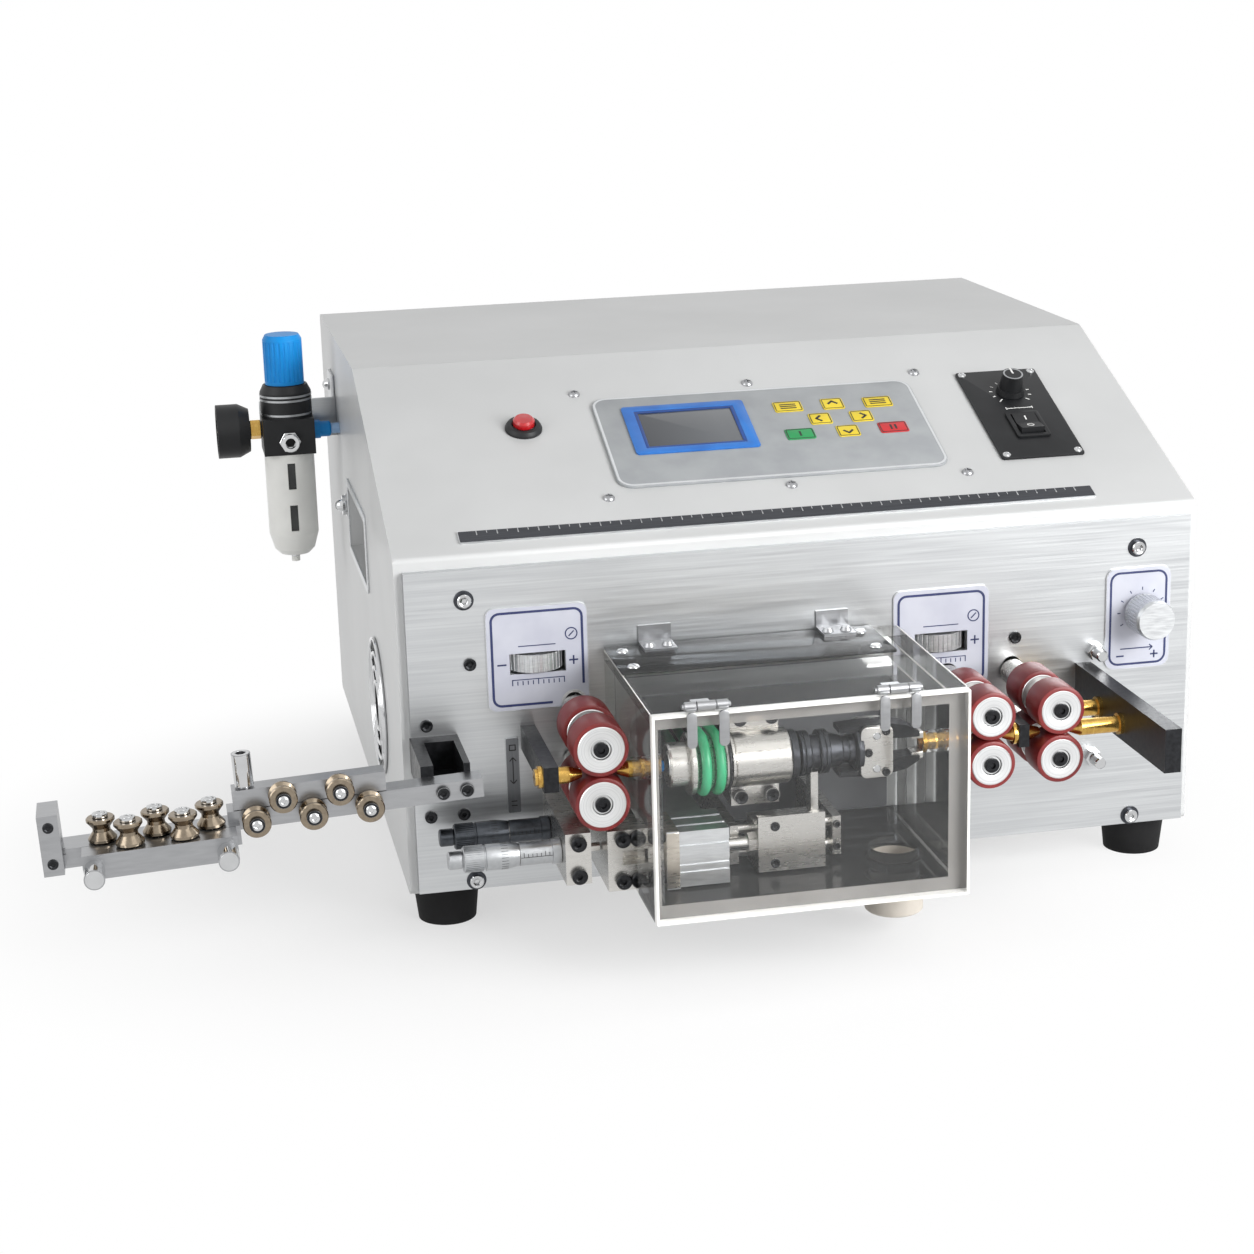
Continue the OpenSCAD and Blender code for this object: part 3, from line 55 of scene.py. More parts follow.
# %% Machine millimetres
shell_low, shell_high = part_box("housing_shell")
ORIGIN = Vector(((shell_low[0] + shell_high[0]) / 2, shell_low[1], 0))


def mm(*sizes):
    """Millimetres to metres, as one number or as a vector."""
    return sizes[0] / 1000 if len(sizes) == 1 else Vector(sizes) / 1000


def at(x, y, z):
    """A point of the machine drawing, in the frame's metres."""
    return ORIGIN + mm(x, y, z)


print("drawing origin:", tuple(round(v, 5) for v in ORIGIN))

# %% [markdown]
# ## Camera
# The picture was taken with a long lens, a little above the machine and from its left. The focal length and
# the angles below come from matching the casing's corners and the steel rule with their places in the
# picture.

# %% Camera
IMAGE_PX = 1254
FOCAL_PX = 2490.6
SENSOR_MM = 36
NEAREST = 50
EYE = (-310.1, -1127.7, 471.0)
AZIMUTH, ELEVATION, ROLL = (math.radians(angle) for angle in (-11.08, 15.78, -1.64))

forward = Vector((-math.sin(AZIMUTH) * math.cos(ELEVATION), math.cos(AZIMUTH) * math.cos(ELEVATION),
                  -math.sin(ELEVATION)))
level = Vector((math.cos(AZIMUTH), math.sin(AZIMUTH), 0))
above = level.cross(forward)
right = math.cos(ROLL) * level + math.sin(ROLL) * above
up = math.cos(ROLL) * above - math.sin(ROLL) * level

bpy.ops.object.select_all(action="DESELECT")
bpy.ops.object.camera_add(location=at(*EYE))
camera = bpy.context.object
camera.name = "picture_camera"
camera.rotation_euler = Matrix((right, up, -forward)).transposed().to_euler()
camera.data.sensor_width = SENSOR_MM
camera.data.lens = SENSOR_MM * FOCAL_PX / IMAGE_PX
camera.data.clip_start = mm(NEAREST)
bpy.context.scene.camera = camera
print("lens:", round(camera.data.lens, 2), "mm")

# %% [markdown]
# ## Shader helpers
# A finish is a small network of nodes. One function adds a node with its settings and joins its inputs, one
# joins outputs to the shader, and one turns the hex colours that we read off a screen into the linear
# values that the shader works with. Every finish starts from Object coordinates, in which one unit is a
# metre.

# %% Colours and scales


def colour(code):
    """An sRGB hex code as linear red, green, blue and alpha."""
    parts = [int(code[i:i + 2], 16) / 255 for i in (1, 3, 5)]
    return [p / 12.92 if p <= 0.04045 else ((p + 0.055) / 1.055) ** 2.4 for p in parts] + [1.0]


def per(size):
    """The texture scale that makes a pattern repeat about every so many millimetres."""
    return 1000 / size


print("mid grey, linear:", round(colour("#808080")[0], 3))

# %% Nodes and finishes


def add(tree, kind, inputs=None, **settings):
    """Adds a shader node. An input is a value, or the output of another node that is joined to it."""
    node = tree.nodes.new("ShaderNode" + kind)
    stops = settings.pop("stops", [])
    for place, code in stops:
        node.color_ramp.elements.new(place).color = colour(code)
    for end in (0, -1) if stops else ():
        node.color_ramp.elements.remove(node.color_ramp.elements[end])
    for key, value in settings.items():
        setattr(node, key, value)
    for key, value in (inputs or {}).items():
        if isinstance(value, bpy.types.NodeSocket):
            tree.links.new(value, node.inputs[key])
        else:
            node.inputs[key].default_value = value
    return node


def finish(name, **values):
    """A new material with its shader's values set: gives it, its tree, its shader and its coordinates."""
    made = bpy.data.materials.new(name)
    made.use_nodes = True
    tree = made.node_tree
    shader = tree.nodes["Principled BSDF"]
    for key, value in values.items():
        shader.inputs[key.replace("_", " ")].default_value = value
    return made, tree, shader, add(tree, "TexCoord").outputs["Object"]


def feed(tree, shader, **outputs):
    """Joins outputs to the shader's inputs of the same names."""
    for key, output in outputs.items():
        tree.links.new(output, shader.inputs[key.replace("_", " ")])


print("shader helpers ready")

# %% [markdown]
# ## Paint, plastics and rubber
# Coated, moulded and printed finishes share one recipe: a colour that wanders a little in wide patches, a
# fine grain in the bump, and a roughness for how it shines. The casing is folded sheet steel with a satin
# grey powder coat, whose grain is a faint orange peel. Cast polyurethane, the tread of the feed rollers, is
# deep red.

# %% Grained finishes


def grained(name, dark, light, roughness, grain, strength=0.12, patches=18, relief=0.1, **values):
    """A finish between two tones. Its grain, its patches of tone and its relief are in millimetres."""
    made, tree, shader, place = finish(name, Roughness=roughness, **values)
    wander = add(tree, "TexNoise", {"Vector": place, "Scale": per(patches), "Detail": 3})
    stops = [(0.35, dark), (0.65, light)]
    tone = add(tree, "ValToRGB", {"Fac": wander.outputs["Fac"]}, stops=stops)
    fine = add(tree, "TexNoise", {"Vector": place, "Scale": per(grain), "Detail": 2})
    bump = add(tree, "Bump", {"Height": fine.outputs["Fac"], "Strength": strength,
                                        "Distance": mm(relief)})
    feed(tree, shader, Base_Color=tone.outputs["Color"], Normal=bump.outputs["Normal"])
    return made


print("recipe for grained finishes ready")

# %% Paint, plastics and rubber
# Satin powder coat: soft sheen over orange peel, slightly brighter where the coat is thicker
casing_paint = grained("satin_powder_coat", "#C2C3C3", "#C9CACA", 0.40, 1.4, 0.10, patches=90, relief=0.05,
                       Metallic=0.12, Coat_Weight=0.10)
# Cast polyurethane: waxy oxblood red with a faint moulding grain
polyurethane = grained("cast_polyurethane", "#6A1A1C", "#7E2423", 0.42, 0.9)
# Natural rubber with carbon black: matt, greyed where it is handled
rubber = grained("carbon_black_rubber", "#0E0E0F", "#19191A", 0.78, 1.2, 0.3, Specular_IOR_Level=0.25)
# ABS, spark-eroded mould: even black with a dull shine
black_plastic = grained("black_abs", "#111214", "#1A1B1D", 0.46, 0.7, Specular_IOR_Level=0.35)
# Acetal knob, dyed blue in the mass
blue_plastic = grained("blue_acetal", "#0480CC", "#0C8CD7", 0.4, 0.8, Specular_IOR_Level=0.3)
# Polycarbonate bowl guard: warm white
white_plastic = grained("white_polycarbonate", "#EDEDE9", "#F4F4F0", 0.36, 0.9)
# Clear red polycarbonate over a lamp that is off: deep and wet
red_plastic = grained("red_lens_polycarbonate", "#A50F18", "#BE1A20", 0.16, 2.0, 0.05, Coat_Weight=0.6)
# Polyurethane round belt: bright green with a waxy skin
belt_green = grained("green_polyurethane_belt", "#2A9A66", "#41B583", 0.34, 0.8)
# Screen-printed polyester film: satin, quite flat
film_grey = grained("polyester_film_grey", "#94979A", "#9FA2A4", 0.46, 0.6, 0.05)
print("made the casing's paint and eight moulded finishes")

# %% [markdown]
# ## Metals
# Each metal is told apart by how it was worked. A brushed sheet has streaks along one direction, a turned
# or milled piece has fine rings or none, and plating is smooth. The streaks are one noise, stretched along
# the grain by a Mapping node, that varies the roughness, the tone and the bump together. A real grain is
# finer than a pixel here, so it is drawn as coarse as it needs to show.

# %% Worked metals
MARKS_LOW, MARKS_HIGH = 0.3, 0.7


def marked(tree, shader, marks, tones, sheen, strength, depth):
    """Lets marks, the output of a noise, set a metal's tone, its roughness and its relief in millimetres."""
    tone = add(tree, "ValToRGB", {"Fac": marks}, stops=list(zip((MARKS_LOW, MARKS_HIGH), tones)))
    rough = add(tree, "MapRange", {"Value": marks, "From Min": MARKS_LOW, "From Max": MARKS_HIGH,
                                             "To Min": sheen[0], "To Max": sheen[1]})
    bump = add(tree, "Bump", {"Height": marks, "Strength": strength, "Distance": mm(depth)})
    feed(tree, shader, Base_Color=tone.outputs["Color"], Roughness=rough.outputs["Result"],
         Normal=bump.outputs["Normal"])


def worked_metal(name, dark, light, roughness, spread, grain, metallic=1.0, depth=0.003):
    """A metal with a grain, given as the millimetres between its marks along X, Y and Z."""
    made, tree, shader, place = finish(name, Metallic=metallic)
    lie = add(tree, "Mapping", {"Vector": place, "Scale": [per(g) for g in grain]})
    noise = add(tree, "TexNoise", {"Vector": lie.outputs["Vector"], "Scale": 1.0, "Detail": 4})
    sheen = (roughness - spread, roughness + spread)
    marked(tree, shader, noise.outputs["Fac"], (dark, light), sheen, 0.5, depth)
    return made


print("recipe for worked metals ready")

# %% Metals
# Cold-rolled sheet, brushed along its width: long pale streaks on a cool grey
brushed_steel = worked_metal("brushed_steel_sheet", "#BDBFC1", "#CACCCD", 0.35, 0.04, (60, 0.9, 0.9))
# Milled and ground blocks: bright, with a fine even grain
machined_steel = worked_metal("ground_tool_steel", "#C4C2BE", "#CBC9C5", 0.28, 0.02, (8, 1.2, 1.2),
                              depth=0.0003)
# Cold-drawn bars of the straightener: a greyer, silky steel
drawn_steel = worked_metal("cold_drawn_steel", "#A0A1A3", "#A9AAAC", 0.3, 0.02, (10, 1.5, 1.5), depth=0.0003)
# Nickel and chrome plate: almost a mirror, neutral grey
chrome = worked_metal("chrome_plate", "#BFC0C1", "#CCCDCE", 0.09, 0.02, (9, 9, 9), depth=0.001)
# Extruded and turned aluminium, anodised clear: pale and silky
aluminium = worked_metal("anodised_aluminium", "#C4C6C8", "#D6D8D9", 0.36, 0.05, (6, 0.8, 0.8), depth=0.002)
# Turned brass, slightly tarnished
brass = worked_metal("turned_brass", "#B48D48", "#CDA85C", 0.24, 0.05, (1.5, 3, 3), depth=0.002)
# Sintered bronze with a nickel flash: warm and a little dull
bronze = worked_metal("nickelled_bronze", "#85796A", "#978B7A", 0.2, 0.03, (2, 2, 2), depth=0.0005)
# Oxide-blackened steel: nearly black, with a soft oily shine
black_steel = worked_metal("blackened_steel", "#1C1D1F", "#2A2B2E", 0.36, 0.06, (2, 2, 2), metallic=0.7)
# The same steel with a thinner oxide, as on the turned body of the head: gunmetal
gunmetal = worked_metal("oxide_gunmetal", "#3A3C40", "#4A4C51", 0.32, 0.05, (2, 4, 4), metallic=0.9)
print("made nine metals")

# %% [markdown]
# ## Acrylic
# The cover is cut from clear acrylic sheet with polished edges. Light that enters an edge travels inside
# the sheet and comes out at the next one, so the edges look bright and the faces almost vanish. A thin
# clear sheet needs no bending of light, so the faces mix a clear shader with a gloss that grows towards a
# grazing view.

# %% Acrylic


def clear_sheet(name, tint, haze, gloss):
    """A thin clear sheet: its tint, the share of light that its body scatters, and its gloss straight on."""
    made, tree, shader, place = finish(name, Roughness=0.25, Base_Color=colour("#F4F5F5"), IOR=1.49)
    wave = add(tree, "TexNoise", {"Vector": place, "Scale": per(40), "Detail": 2})
    smear = add(tree, "MapRange", {"Value": wave.outputs["Fac"], "To Min": haze * 0.7,
                                             "To Max": haze * 1.3})
    glass = add(tree, "BsdfTransparent", {"Color": colour(tint)})
    body = add(tree, "MixShader", {0: smear.outputs["Result"], 1: glass.outputs[0],
                                             2: shader.outputs[0]})
    shine = add(tree, "BsdfGlossy", {"Color": (1, 1, 1, 1), "Roughness": 0.04})
    rim = add(tree, "LayerWeight", {"Blend": gloss})
    both = add(tree, "MixShader", {0: rim.outputs["Fresnel"], 1: body.outputs[0], 2: shine.outputs[0]})
    feed(tree, tree.nodes["Material Output"], Surface=both.outputs[0])
    return made


# Cast sheet, a little scuffed, so that its faces still show; the door is newer and clearer
acrylic = clear_sheet("clear_cast_acrylic", "#F7F7F6", 0.045, 0.06)
door_acrylic = clear_sheet("polished_clear_acrylic", "#FDFDFD", 0.018, 0.05)
# Smoked sheet: each face passes about a quarter of the light
smoked_acrylic = clear_sheet("smoked_acrylic", "#8A8C8E", 0.05, 0.08)
# A polished edge is white with a painted glow of its own, which stands in for the light that the sheet
# carries
glow_edge_finish = grained("painted_glow_acrylic_edge", "#E6E5E1", "#EFEEEB", 0.2, 3.0, 0.03, Emission_Strength=0.12,
                   Emission_Color=colour("#F4F3EF"))
# A sawn edge is frosted and catches the warm light of the room
sawn_edge = grained("sawn_acrylic_spout", "#B9B2A8", "#C8C1B7", 0.5, 0.8, 0.1)
wall_end = clear_sheet("sawn_acrylic_edge", "#D6CEC4", 0.22, 0.05)
print("made", acrylic.name, door_acrylic.name, smoked_acrylic.name, glow_edge_finish.name, wall_end.name)

# %% [markdown]
# ## Floor, light and background
# A product picture stands on a white sweep. Near the machine the floor is a plain pale diffuse sheet that
# takes its shadow, and further out it fades to pure white. The world is white to the camera and in
# reflections, and dimmer as a light, so that colours render about as they are written.

# %% Floor
FLOOR_SIZE = 60
FADE_START, FADE_END, FADE_OVAL = 0.18, 0.38, (1.0, 1.15, 1.0)
SHADOW_LIFT = 0.58
WHITE = (1, 1, 1, 1)


def seen_rays(tree):
    """An output that is 1 where the eye looks, straight, through glass or in a mirror, and 0 for light."""
    path = add(tree, "LightPath").outputs
    clear = add(tree, "Math", {0: path["Is Camera Ray"], 1: path["Is Transmission Ray"]}, operation="MAXIMUM")
    return add(tree, "Math", {0: clear.outputs[0], 1: path["Is Glossy Ray"]}, operation="MAXIMUM").outputs[0]


bpy.ops.object.select_all(action="DESELECT")
bpy.ops.mesh.primitive_plane_add(size=FLOOR_SIZE, location=(0, 0, 0))
floor = bpy.context.object
floor.name = "studio_floor"
# White paper: quite matt, with no shine of its own
sweep, tree, shader, place = finish("white_paper_sweep", Roughness=0.9, Base_Color=colour("#F2F2F2"),
                                    Specular_IOR_Level=0.1)
spot = add(tree, "Mapping", {"Vector": place, "Scale": FADE_OVAL})
reach = add(tree, "VectorMath", {0: spot.outputs["Vector"]}, operation="LENGTH")
fade = add(tree, "MapRange", {"Value": reach.outputs["Value"], "From Min": FADE_START,
                                        "From Max": FADE_END}, interpolation_type="SMOOTHSTEP")
lift = add(tree, "MapRange", {"Value": fade.outputs["Result"], "To Min": SHADOW_LIFT})
share = add(tree, "Math", {0: seen_rays(tree), 1: lift.outputs["Result"]}, operation="MULTIPLY")
glow = add(tree, "Emission", {"Color": WHITE, "Strength": 1.0})
mixed = add(tree, "MixShader", {0: share.outputs[0], 1: shader.outputs[0], 2: glow.outputs[0]})
feed(tree, tree.nodes["Material Output"], Surface=mixed.outputs[0])
floor.data.materials.append(sweep)
print("floor ready")

# %% World
WORLD_LIGHT, WORLD_SEEN = 0.3, 1.0
world = bpy.data.worlds.new("white_studio")
world.use_nodes = True
bpy.context.scene.world = world
tree = world.node_tree
strength = add(tree, "MapRange", {"Value": seen_rays(tree), "To Min": WORLD_LIGHT,
                                  "To Max": WORLD_SEEN})
feed(tree, tree.nodes["Background"], Strength=strength.outputs["Result"])
tree.nodes["Background"].inputs["Color"].default_value = WHITE
print("world ready")

# %% [markdown]
# Three soft boxes give the shapes their shading. The key stands to the right, where the bright sides are,
# and a weaker one on the left keeps the shaded sides open.

# %% Lamps


def lamp(name, place, aim, size, power):
    """A square soft box at a place, turned to a point, with so many watts. Its places are in metres."""
    bpy.ops.object.select_all(action="DESELECT")
    bpy.ops.object.light_add(type="AREA", location=place)
    made = bpy.context.object
    made.name = name
    made.data.size = size
    made.data.energy = power
    made.rotation_euler = (Vector(aim) - Vector(place)).to_track_quat("-Z", "Y").to_euler()


lamp("key_soft_box", (0.95, -1.3, 0.7), (0.1, 0, 0.12), 0.9, 31)
lamp("top_soft_box", (0.7, -1.1, 1.8), (0.1, 0, 0.1), 1.2, 4)
lamp("fill_soft_box", (-1.6, -0.8, 0.9), (0, 0, 0.1), 1.2, 12)
bpy.context.scene.view_settings.view_transform = "Standard"
print("lamps ready")

# %% [markdown]
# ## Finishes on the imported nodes
# Where a solid already has the real shape, it only needs its finish. Each finish is listed once with the
# nodes that take it, and the material slot of the node's object is set to it.

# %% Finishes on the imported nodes
GUIDES = [f"{kind}_guide_{number}" for kind in ("side", "top") for number in range(1, 6)]
ROLLERS = [f"{place}_{level}_roller" for place in ("left", "first", "second") for level in ("upper", "lower")]
node_finishes = {
    casing_paint: ["housing_shell", "base_plate"],
    brushed_steel: ["front_panel"],
    machined_steel: ["micrometer_stand", "fork_slide", "head_housing", "slide_frame", "drive_frames",
                     "left_carriage", "right_carriage"],
    drawn_steel: ["straightener_bar", "side_adjuster", "top_adjuster", "cover_hinges"],
    aluminium: ["air_cylinder", "pressure_knob", "scale_plates", "front_thimble", "rear_thimble",
                "left_thumbwheel", "right_thumbwheel"],
    chrome: ["panel_screws", "cooling_fan"],
    brass: ["guide_nozzles"],
    bronze: GUIDES,
    black_steel: ["guide_holders", "upper_jaw", "lower_jaw", "clamp_collar", "head_rotor"],
    black_plastic: ["speed_knob", "rocker_switch", "regulator_body", "fan_rotor", "drive_motors"],
    rubber: ["rubber_feet"],
    polyurethane: ROLLERS,
    belt_green: ["drive_belts"],
    film_grey: ["console_plates", "control_unit"],
    red_plastic: ["push_button"],
    blue_plastic: ["regulator_knob", "regulator_fittings"],
    white_plastic: ["bowl_guard"],
    acrylic: ["cover_walls", "cover_door"],
}
for material, names in node_finishes.items():
    for name in names:
        for place in nodes[name].material_slots:
            place.material = material
bare = sorted(set(nodes) - {name for names in node_finishes.values() for name in names})
print("nodes with no finish:", bare)

# %% [markdown]
# ## Modelling helpers
# Two starts cover most of what a workshop makes. A turned piece is a profile of points, extruded one from
# the other and spun round an axis. A plate is a flat sheet whose corners are rounded and which is then
# extruded to its thickness. Each is made at the origin, standing on Z, and then carried to its place.

# %% Selecting and placing


def pick(piece):
    """Selects one piece alone and makes it the active one."""
    bpy.ops.object.select_all(action="DESELECT")
    piece.select_set(True)
    bpy.context.view_layer.objects.active = piece


def placed(piece, place):
    """Puts a place into a piece's mesh, so that its object stays at the origin."""
    piece.matrix_world = place
    pick(piece)
    bpy.ops.object.transform_apply(location=True, rotation=True, scale=True)
    return piece


def moved(piece, x, y, z=0, turn=0):
    """Shifts a piece in its own drawing and turns it, in degrees, before it is carried to the machine."""
    return placed(piece, Matrix.Translation(mm(x, y, z)) @ Matrix.Rotation(math.radians(turn), 4, "Z"))


print("placing helpers ready")

# %% Modifiers, copies and joins


def modified(piece, kind, **settings):
    """Gives a piece a modifier with its settings, and applies it."""
    modifier = piece.modifiers.new(kind.lower(), kind)
    for key, value in settings.items():
        setattr(modifier, key, value)
    pick(piece)
    bpy.ops.object.modifier_apply(modifier=modifier.name)
    return piece


def copies(piece, count):
    """So many of a piece, each with a mesh of its own. The last is the piece itself."""
    made = []
    for _ in range(count - 1):
        twin = piece.copy()
        twin.data = piece.data.copy()
        bpy.context.collection.objects.link(twin)
        made.append(twin)
    return made + [piece]


def joined(pieces):
    """Several pieces made one, as the first of them."""
    pick(pieces[0])
    for piece in pieces:
        piece.select_set(True)
    bpy.ops.object.join()
    return pieces[0]


print("copying helpers ready")

# %% Turned pieces
SMOOTH_ANGLE = math.radians(35)
FINE = 1e-6


def turned(profile, steps=48):
    """A piece spun round Z from a profile of radius and height, in millimetres."""
    bpy.ops.object.select_all(action="DESELECT")
    bpy.ops.mesh.primitive_plane_add(size=mm(1))
    bpy.ops.object.mode_set(mode="EDIT")
    bpy.ops.mesh.select_all(action="SELECT")
    bpy.ops.mesh.merge(type="CENTER")
    bpy.ops.transform.translate(value=mm(profile[0][0], 0, profile[0][1]))
    for (r0, z0), (r1, z1) in zip(profile, profile[1:]):
        bpy.ops.mesh.extrude_region_move(TRANSFORM_OT_translate={"value": mm(r1 - r0, 0, z1 - z0)})
    bpy.ops.mesh.select_all(action="SELECT")
    bpy.ops.mesh.spin(steps=steps, angle=2 * math.pi, center=(0, 0, 0), axis=(0, 0, 1))
    bpy.ops.mesh.select_all(action="SELECT")
    bpy.ops.mesh.remove_doubles(threshold=FINE)
    bpy.ops.mesh.normals_make_consistent(inside=False)
    bpy.ops.object.mode_set(mode="OBJECT")
    bpy.ops.object.shade_smooth_by_angle(angle=SMOOTH_ANGLE)
    return bpy.context.object


def disc(radius, low, high, steps):
    """A plain round between two heights. With six steps it is a hexagon."""
    return turned([(0, low), (radius, low), (radius, high), (0, high)], steps)


def tube(inner, outer, low, high, steps):
    """A plain ring between two radii and two heights."""
    return turned([(inner, low), (outer, low), (outer, high), (inner, high), (inner, low)], steps)


def rod(place, radius, length, edge=0.3, steps=40):
    """A turned rod with eased ends from a place along its local Z."""
    return placed(turned([(0, 0), (radius - edge, 0), (radius, edge), (radius, length - edge),
                          (radius - edge, length), (0, length)], steps), place)


print("turning helpers ready")

# %% Plates
CORNER_STEPS = 6


def eased(piece, width):
    """Rounds a piece's sharp edges by so many millimetres, unless that is none."""
    if width:
        modified(piece, "BEVEL", width=mm(width), segments=2, limit_method="ANGLE", angle_limit=SMOOTH_ANGLE)
        bpy.ops.object.shade_smooth_by_angle(angle=SMOOTH_ANGLE)
    return piece


def plate(width, height, thick, corner, edge=0):
    """A plate with rounded corners, lying on Z = 0, with its edges eased."""
    bpy.ops.object.select_all(action="DESELECT")
    bpy.ops.mesh.primitive_plane_add(size=1)
    piece = bpy.context.object
    piece.scale = mm(width, height, 1)
    bpy.ops.object.transform_apply(location=False, rotation=False, scale=True)
    bpy.ops.object.mode_set(mode="EDIT")
    bpy.ops.mesh.select_all(action="SELECT")
    if corner:
        bpy.ops.mesh.bevel(offset=mm(corner), segments=CORNER_STEPS, affect="VERTICES")
        bpy.ops.mesh.select_all(action="SELECT")
    bpy.ops.mesh.extrude_region_move(TRANSFORM_OT_translate={"value": mm(0, 0, thick)})
    bpy.ops.mesh.select_all(action="SELECT")
    bpy.ops.mesh.normals_make_consistent(inside=False)
    bpy.ops.object.mode_set(mode="OBJECT")
    return eased(piece, edge)


print("plate helpers ready")

# %% [markdown]
# A finished piece gets a name, a finish, a slot and the body that carries it, and most ride on the machine
# itself. What repeats is modelled once and copied to its places.

# %% Finished pieces


def carried(piece, name, place, material, body="machine"):
    """Carries a piece from the origin to its place and gives it a name, a finish and a body."""
    placed(piece, place)
    piece.name = name
    piece.data.materials.clear()
    piece.data.materials.append(material)
    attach(piece, body)
    return piece


def in_place(piece, name, material, body="machine"):
    """Finishes a piece that already sits in its place."""
    return carried(piece, name, Matrix.Identity(4), material, body)


def stacked(piece, heights):
    """Copies of a piece at several heights on its own axis, joined."""
    return joined([moved(twin, 0, 0, height) for twin, height in zip(copies(piece, len(heights)), heights)])


def ring_of(piece, count):
    """Copies of a piece round Z, so many in a full turn, joined."""
    return joined([moved(twin, 0, 0, 0, 360 * n / count) for n, twin in enumerate(copies(piece, count))])


def repeated(master, places, name, material, body="machine"):
    """Puts one piece at every place and joins them."""
    pieces = [placed(piece, place) for piece, place in zip(copies(master, len(places)), places)]
    return in_place(joined(pieces), name, material, body)


print("finishing helpers ready")

# %% [markdown]
# Three frames of reference carry pieces to the machine: the front panel, whose outward direction is -Y, the
# sloping console, and any axis along X, along Y or straight up.

# %% Places on the machine
PANEL_FACE = -4.5
FRONT_H, SLOPE_RUN, BODY_H, FOOT_H = 167.5, 159, 232, 20
SLOPE = math.atan2(BODY_H - FRONT_H, SLOPE_RUN)
QUARTER = math.pi / 2
TURNS = {"+X": (QUARTER, "Y"), "-X": (-QUARTER, "Y"), "+Y": (-QUARTER, "X"), "-Y": (QUARTER, "X")}


def facing(x, y, z, axis):
    """At a point, with local Z along +X, -X, +Y or -Y."""
    angle, about = TURNS[axis]
    return Matrix.Translation(at(x, y, z)) @ Matrix.Rotation(angle, 4, about)


def on_panel(x, z, out=0):
    """On the front panel: local X right, Y up, Z out of the face."""
    return facing(x, PANEL_FACE - out, z, "-Y")


def on_slope(x, s, out=0):
    """On the console, so far up its slope: local X right, Y up the slope, Z out of it."""
    lifted = at(x, s * math.cos(SLOPE), FOOT_H + FRONT_H + s * math.sin(SLOPE))
    return Matrix.Translation(lifted) @ Matrix.Rotation(SLOPE, 4, "X") @ Matrix.Translation(mm(0, 0, out))


def upright(x, y, z):
    """At a point, with local Z up."""
    return Matrix.Translation(at(x, y, z))


print("slope:", round(math.degrees(SLOPE), 2), "degrees")

# %% [markdown]
# ## Feed rollers
# Two pairs of rollers pull the wire through and a third feeds it in. Each shaft carries two wheels: an
# aluminium core, faced on a lathe, inside a tread of cast polyurethane, with a screw in the middle. The
# face's fine rings are a noise that depends only on the distance from the axis, so each roller's finish
# knows where its own axis is.

# %% Turned faces
RING = 0.35


def turned_face(name, axis, dark, light):
    """Aluminium faced on a lathe: bright and dull rings round an axis along Y through a point."""
    made, tree, shader, place = finish(name, Metallic=1.0)
    centred = add(tree, "VectorMath", {0: place, 1: at(*axis)}, operation="SUBTRACT")
    flat = add(tree, "VectorMath", {0: centred.outputs["Vector"], 1: (1, 0, 1)}, operation="MULTIPLY")
    radius = add(tree, "VectorMath", {0: flat.outputs["Vector"]}, operation="LENGTH")
    rings = add(tree, "TexNoise", {"W": radius.outputs["Value"], "Scale": per(RING), "Detail": 2},
                noise_dimensions="1D")
    marked(tree, shader, rings.outputs["Fac"], (dark, light), (0.28, 0.42), 0.4, 0.03)
    return made


print("lathe finish ready")

# %% Feed rollers
ROLLER_FRONT, TYRE_W, TYRE_STEP, TYRE_WALL = -73, 18, 27, 2
COLLAR_R, COLLAR_END, SHAFT_R, SHAFT_END = 6.5, 67.1, 4, 94
WIRE_Z = 97
NIP = 0.2
# The places of the rollers along the wire, by radius
ROLLER_XS = {13: {"left": -117}, 11.75: {"first": 69.5, "second": 103.5}}


def roller_parts(radius):
    """The tyres, cores, shaft and screw of one roller, standing on Z with the front at 0."""
    hub = radius - TYRE_WALL
    shoulder = [(hub, 0.35), (radius - 0.9, 0.35), (radius - 0.25, 0.65), (radius, 1.3)]
    tread = shoulder + [(r, TYRE_W - z) for r, z in reversed(shoulder)] + shoulder[:1]
    face = [(0, 0.9), (4.4, 0.9), (4.8, 0.1), (5.2, 0), (hub - 0.3, 0), (hub, 0.3), (hub, TYRE_W - 0.3),
            (hub - 0.3, TYRE_W), (0, TYRE_W)]
    tyres, cores = (stacked(turned(profile, 72), (0, TYRE_STEP)) for profile in (tread, face))
    shaft = turned([(0, TYRE_W), (COLLAR_R, TYRE_W), (COLLAR_R, COLLAR_END - 0.4),
                    (COLLAR_R - 0.4, COLLAR_END), (SHAFT_R, COLLAR_END), (SHAFT_R, SHAFT_END),
                    (0, SHAFT_END)], 40)
    screw = turned([(0, 0.5), (1.3, 0.5), (1.6, -0.6), (3.1, -0.6), (3.6, -0.2), (3.6, 1.2), (0, 1.2)], 24)
    return [(tyres, polyurethane, "polyurethane", "tyres"), (cores, None, "aluminium", "cores"),
            (shaft, machined_steel, "machined_steel", "shaft"), (screw, black_steel, "black_steel", "screw")]


for radius, stations in ROLLER_XS.items():
    axes = [(f"{station}_{level}_roller", (x, ROLLER_FRONT, WIRE_Z + side * (radius + NIP)))
            for station, x in stations.items() for level, side in (("upper", 1), ("lower", -1))]
    parts = [(copies(part, len(axes)), *rest) for part, *rest in roller_parts(radius)]
    for count, (node, axis) in enumerate(axes):
        face = turned_face(f"faced_aluminium_{node}", axis, "#CFD0D1", "#EDEEEE")
        for pieces, material, slot, label in parts:
            piece = pieces[count]
            carried(piece, f"{node}_{label}", facing(*axis, "+Y"), material or face, node)
            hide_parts(node)
        print("made", node)

